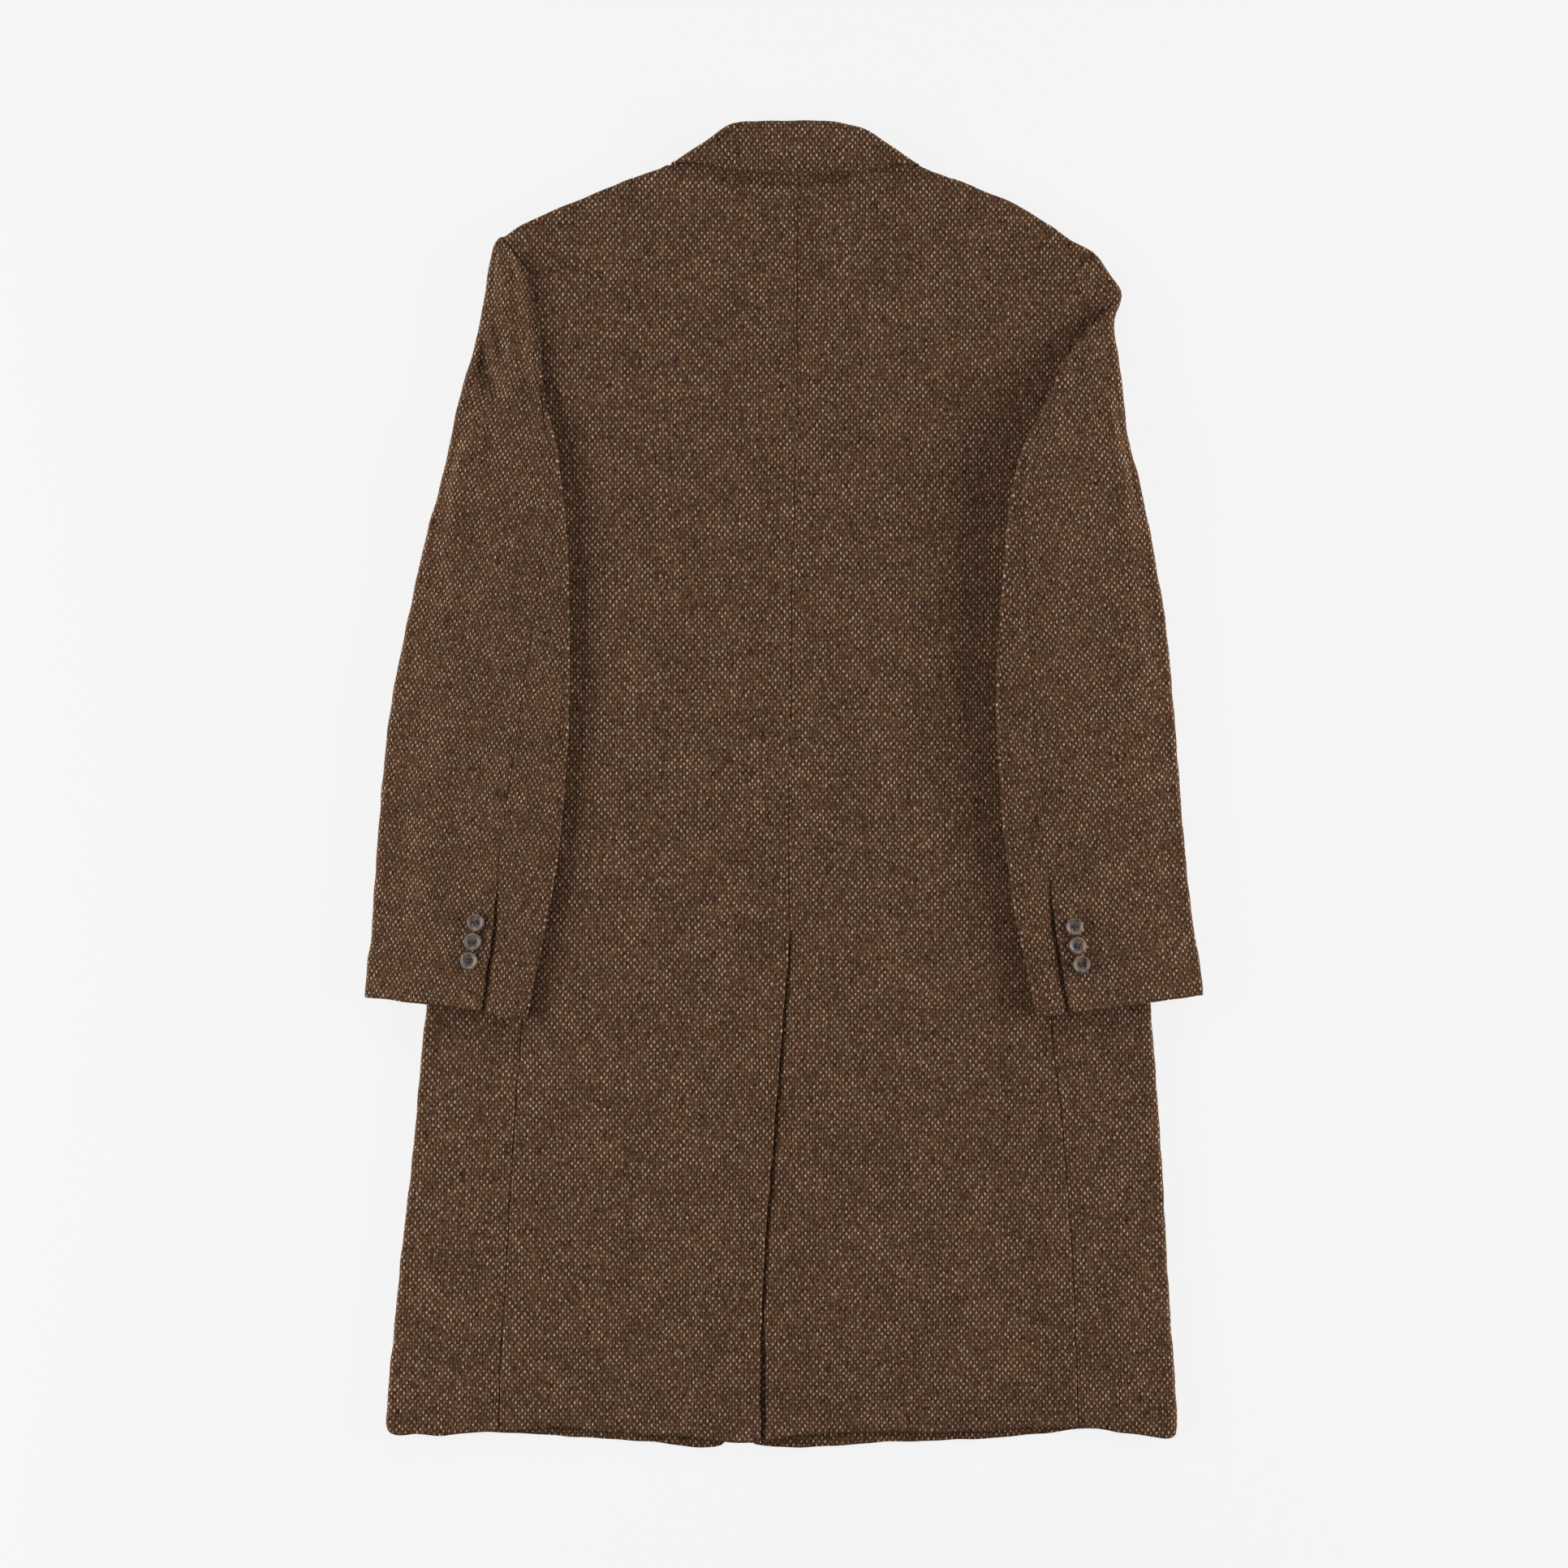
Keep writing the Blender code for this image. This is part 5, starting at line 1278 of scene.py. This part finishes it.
def wool_hairs(pieces, finish):
    """Short loose hairs along folds and edges, and a few long stray ones lying on the cloth."""
    chance = np.random.default_rng(SEED)
    corners, normals, areas = faces_of(pieces)
    middles = corners.mean(axis=1)
    steep = (normals[:, 2] > -0.3) & (normals[:, 2] < 0.7)
    edge = steep & (middles[:, 2] > 0.8)
    top = (normals[:, 2] > 0.9) & (middles[:, 2] > 0.75 * BODY_THICK)
    at_hem = np.where(middles[:, 1] < HEM_HAIR_Y, *HEM_HAIRS)
    weight = np.where(normals[:, 1] < -0.5, at_hem, 1.0)
    points, triangles = [], []
    for chosen, count, lengths, radius, stray in (
        (edge, HAIR_COUNT, HAIR_LENGTH, HAIR_RADIUS, False),
        (top, STRAY_COUNT, STRAY_LENGTH, STRAY_RADIUS, True),
    ):
        share = areas * chosen * weight
        for number in chance.choice(len(areas), count, p=share / share.sum()):
            way = normals[number] + HAIR_SPREAD * chance.normal(size=3)
            if stray:
                way = np.array([*chance.normal(size=2), STRAY_SLOPE])
            first, second = chance.uniform(0, 1, 2)
            near, after, far, before = corners[number]
            root = mix(mix(near, after, first), mix(before, far, first), second)
            root = root + (0, 0, STRAY_LIFT if stray else 0)
            found, rows = hair(chance, root, way, chance.uniform(*lengths), radius)
            triangles += [tuple(corner + len(points) for corner in row) for row in rows]
            points += found
    points = np.array(points)
    points[:, 2] = np.maximum(points[:, 2], HAIR_FLOOR)
    mesh = bpy.data.meshes.new("wool_hairs")
    mesh.from_pydata((points * MM).tolist(), [], triangles)
    made = new_object("wool_hairs", mesh, finish)
    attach(made, "root")


def tube(bm, path, radius, sides=8):
    """Round strand along a path of points."""
    path = np.array(path)
    ways = np.gradient(path, axis=0)
    rings = []
    for point, way in zip(path, ways):
        way = way / np.linalg.norm(way)
        across = np.cross(way, (0, 0, 1))
        across = across / np.linalg.norm(across)
        upright = np.cross(across, way)
        angles = 2 * math.pi * np.arange(sides) / sides
        ring = [point + radius * (math.cos(a) * across + math.sin(a) * upright) for a in angles]
        rings.append([bm.verts.new(corner) for corner in ring])
    for near, far in zip(rings, rings[1:]):
        for k in range(sides):
            bm.faces.new((near[k], near[(k + 1) % sides], far[(k + 1) % sides], far[k]))
    bm.faces.new(rings[0][::-1])
    bm.faces.new(rings[-1])


def mesh_from(bm, name):
    """Mesh with what a bmesh holds, which is then freed."""
    mesh = bpy.data.meshes.new(name)
    bm.to_mesh(mesh)
    bm.free()
    return mesh


def turned_button(name, centre, finish):
    """Round button with a raised rim, without its holes."""
    bm = bmesh.new()
    profile = zip(BUTTON_PROFILE["radius"], BUTTON_PROFILE["z"])
    points = [bm.verts.new((radius * MM, 0, height * MM)) for radius, height in profile]
    edges = [bm.edges.new(pair) for pair in zip(points, points[1:])]
    whole_turn = {"cent": (0, 0, 0), "axis": (0, 0, 1), "angle": 2 * math.pi, "use_merge": True}
    bmesh.ops.spin(bm, geom=points + edges, steps=BUTTON_SEGMENTS, **whole_turn)
    bmesh.ops.remove_doubles(bm, verts=bm.verts, dist=1e-6)
    bmesh.ops.recalc_face_normals(bm, faces=bm.faces)
    bmesh.ops.translate(bm, verts=bm.verts, vec=centre * MM)
    return new_object(name, mesh_from(bm, name), finish)


def pierce(button, spots):
    """Cut a hole through a button at each of these spots."""
    cutter = bmesh.new()
    size = {"radius1": HOLE_RADIUS * MM, "radius2": HOLE_RADIUS * MM, "depth": HOLE_CUT * MM}
    for spot in spots:
        hole = bmesh.ops.create_cone(cutter, cap_ends=True, segments=HOLE_SEGMENTS, **size)
        bmesh.ops.translate(cutter, verts=hole["verts"], vec=spot * MM)
    tool = bpy.data.objects.new("holes", mesh_from(cutter, "holes"))
    bpy.context.scene.collection.objects.link(tool)
    cut = button.modifiers.new("holes", "BOOLEAN")
    cut.object = tool
    cut.operation = "DIFFERENCE"
    bpy.context.view_layer.update()
    pierced = bpy.data.meshes.new_from_object(button.evaluated_get(bpy.context.evaluated_depsgraph_get()))
    button.modifiers.clear()
    button.data = pierced
    pierced.shade_smooth()
    pierced.set_sharp_from_angle(angle=math.radians(40))
    bpy.data.objects.remove(tool, do_unlink=True)


def crossed_thread(name, spots, finish):
    """Two pairs of threads that cross between four holes."""
    strands = bmesh.new()
    for near, far, lift in ((spots[0], spots[2], 0.0), (spots[1], spots[3], THREAD_RISE)):
        for shift in (-THREAD_SPACING, THREAD_SPACING):
            way = (far - near) / np.linalg.norm(far - near)
            aside = shift * np.array([-way[1], way[0], 0])
            path = []
            for t in np.linspace(0, 1, 13):
                rise = BUTTON_PROFILE["z"][-1] + (THREAD_RISE + lift) * math.sin(math.pi * t) ** 0.5
                low = THREAD_DIP * max(0.0, abs(2 * t - 1) - 0.8) / 0.2
                path.append((mix(near, far, t) + aside + (0, 0, rise - low)) * MM)
            tube(strands, path, THREAD_RADIUS * MM)
    return new_object(name, mesh_from(strands, name), finish)


def cuff_button(node, x, drop, z, turn, horn_finish, thread_finish):
    """Four-hole button, and the crossed thread that sews it on."""
    centre = np.array([x, LENGTH / 2 - drop, z])
    holes = [turn + math.pi / 4 + quarter * math.pi / 2 for quarter in range(4)]
    spots = [centre + HOLE_SPACING * np.array([math.cos(a), math.sin(a), 0]) for a in holes]
    button = turned_button("horn_" + node, centre, horn_finish)
    pierce(button, spots)
    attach(button, "root")
    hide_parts(node)
    thread = crossed_thread("thread_" + node, spots, thread_finish)
    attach(thread, "root")


def area_light(name, place, size, power):
    """Rectangular light that points at the coat's middle."""
    data = bpy.data.lights.new(name, "AREA")
    data.shape = "RECTANGLE"
    data.size, data.size_y = size
    data.energy = power
    lamp = bpy.data.objects.new(name, data)
    bpy.context.scene.collection.objects.link(lamp)
    lamp.location = place
    lamp.rotation_euler = lamp.location.to_track_quat("Z", "Y").to_euler()


def stage():
    """Pale floor, soft light from both sides and above, and the camera straight above the coat."""
    scene = bpy.context.scene
    mesh = bpy.data.meshes.new("floor")
    corners = ((-1, -1), (1, -1), (1, 1), (-1, 1))
    mesh.from_pydata([(FLOOR_SIZE * x, FLOOR_SIZE * y, FLOOR_Z) for x, y in corners], [], [(0, 1, 2, 3)])
    paper, _, shader = new_material("pale_paper")
    set_inputs(shader, Base_Color=(FLOOR_GREY, FLOOR_GREY, FLOOR_GREY, 1), Roughness=1.0)
    set_inputs(shader, Specular_IOR_Level=0.0, Emission_Color=(1, 1, 1, 1), Emission_Strength=FLOOR_GLOW)
    floor = bpy.data.objects.new("floor", mesh)
    mesh.materials.append(paper)
    scene.collection.objects.link(floor)

    world = bpy.data.worlds.new("studio")
    world.use_nodes = True
    set_inputs(world.node_tree.nodes["Background"], Color=(1, 1, 1, 1), Strength=WORLD_LIGHT)
    scene.world = world
    for light in SOFTBOXES:
        area_light(*light)

    data = bpy.data.cameras.new("camera")
    data.sensor_fit = "HORIZONTAL"
    data.sensor_width = SENSOR
    data.lens = SENSOR * CAMERA_HEIGHT / (PHOTO_SIZE * PHOTO_SCALE * MM)
    camera = bpy.data.objects.new("camera", data)
    camera.location = (0, CAMERA_Y, CAMERA_HEIGHT)
    scene.collection.objects.link(camera)
    scene.camera = camera
    scene.view_settings.view_transform = "Standard"


def body(wool):
    """Backs, vent underlap and side bodies."""
    left_outer = armhole_then_seam(LEFT_ARMHOLE, LEFT_BACK_SEAM)
    right_outer = armhole_then_seam(RIGHT_ARMHOLE, RIGHT_BACK_SEAM)
    for word, side, shoulder, outer, hem in (
        ("left", -1, LEFT_SHOULDER, left_outer, LEFT_BACK_HEM),
        ("right", 1, RIGHT_SHOULDER, right_outer, RIGHT_BACK_HEM),
    ):
        grid = back_panel(side, shoulder, outer, hem)
        edges = (SEAM_DEPTH, side_seam(grid), 0.0, HEM_RADIUS)
        weave = plan_weave(grid, CUT_FROM["back_" + word])
        cloth("back_" + word, grid, -side, weave, edges, wool)
    grid = vent_underlap()
    cloth("vent_underlap", grid, 1, plan_weave(grid), (0.0, 0.0, 0.0, HEM_RADIUS), wool)
    for word, side, armhole, outer, fold, hem_drops in (
        ("left", -1, LEFT_ARMHOLE, left_outer, LEFT_FOLD, LEFT_SIDE_HEM),
        ("right", 1, RIGHT_ARMHOLE, right_outer, RIGHT_FOLD, RIGHT_SIDE_HEM),
    ):
        grid = side_body(side, armhole, outer, fold, hem_drops)
        weave = wrapped_weave(grid, side, math.radians(SIDE_LEAN), CUT_FROM["side"])
        edges = (SEAM_DEPTH, 0.0, 0.0, HEM_RADIUS)
        cloth("side_" + word, grid, -side, weave, edges, wool)


def fronts_and_collar(wool):
    """Fronts and lapels on the floor, and the pieces of the collar."""
    left = (LEFT_FRONT_TOP, LEFT_ARMHOLE, LEFT_FOLD, LEFT_FRONT_EDGE, LEFT_LAPEL, LEFT_FRONT_HEM)
    right = (RIGHT_FRONT_TOP, RIGHT_ARMHOLE, RIGHT_FOLD, RIGHT_FRONT_EDGE, RIGHT_LAPEL, RIGHT_FRONT_HEM)
    for word, side, outlines in (("left", -1, left), ("right", 1, right)):
        grid = front_panel(side, *outlines)
        edges = (FRONT_EDGE, 0.0, 0.0, FRONT_EDGE)
        weave = plan_weave(grid, CUT_FROM["front"])
        cloth("front_" + word, grid, side, weave, edges, wool)
        grid = lapel_leaf(side, outlines[3], outlines[4])
        edges = (0.0, LEAF_EDGE, 0.0, 0.0)
        weave = plan_weave(grid, CUT_FROM["lapel"])
        cloth("lapel_" + word, grid, side, weave, edges, wool)
    grid = collar_back()
    edges = (LEAF_EDGE, LEAF_EDGE, 0.0, FRONT_EDGE)
    weave = plan_weave(grid, CUT_FROM["collar_back"])
    cloth("collar_back", grid, -1, weave, edges, wool)
    ends = (("left", -1, COLLAR_END_LEFT, left), ("right", 1, COLLAR_END_RIGHT, right))
    for word, side, along, outlines in ends:
        grid = collar_front(side, along, outlines[4], outlines[3])
        weave = plan_weave(grid, CUT_FROM["collar_front"])
        edges = (LEAF_EDGE, 0.0, 0.0, LEAF_EDGE)
        cloth("collar_front_" + word, grid, -side, weave, edges, wool)
    grid = collar_stand()
    weave = plan_weave(grid, CUT_FROM["collar_stand"])
    cloth("collar_stand", grid, -1, weave, (0.0, 0.0, 0.0, 0.0), wool)


def sleeves(wool):
    """Upper and lower piece of each sleeve."""
    for word, arm in ARMS:
        side = arm["side"]
        lean = math.radians(arm["lean"])
        for kind, facing, grid in (
            ("top_sleeve", -side, top_sleeve(arm)),
            ("under_sleeve", side, under_sleeve(arm)),
        ):
            weave = wrapped_weave(grid, side, lean, CUT_FROM[kind], arm["across"])
            edges = (sleeve_seam(grid), 0.0, 0.0, HEM_RADIUS)
            cloth(kind + "_" + word, grid, facing, weave, edges, wool, SLEEVE_WALL)


def buttons():
    """Three buttons on each cuff, each turned a little more than the last."""
    horn_finish = horn()
    thread_finish = plain("dark_thread", (0.045, 0.032, 0.027), 0.7)
    for word, arm in ARMS:
        for number, (x, drop) in enumerate(zip(arm["buttons"]["x"], arm["buttons"]["drop"]), 1):
            z = sleeve_top_at(arm, x, drop) + BUTTON_CLEARANCE
            turn = BUTTON_TURN * number + arm["button_turn"]
            cuff_button(f"cuff_button_{word}_{number}", x, drop, z, turn, horn_finish, thread_finish)


def main():
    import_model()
    wool = tweed()
    body(wool)
    fronts_and_collar(wool)
    sleeves(wool)
    woven = [piece for piece in bpy.context.scene.objects if piece.name.startswith("cloth_")]
    wool_hairs(woven, plain("loose_wool", (0.40, 0.25, 0.17), 0.8))
    buttons()
    stage()


main()
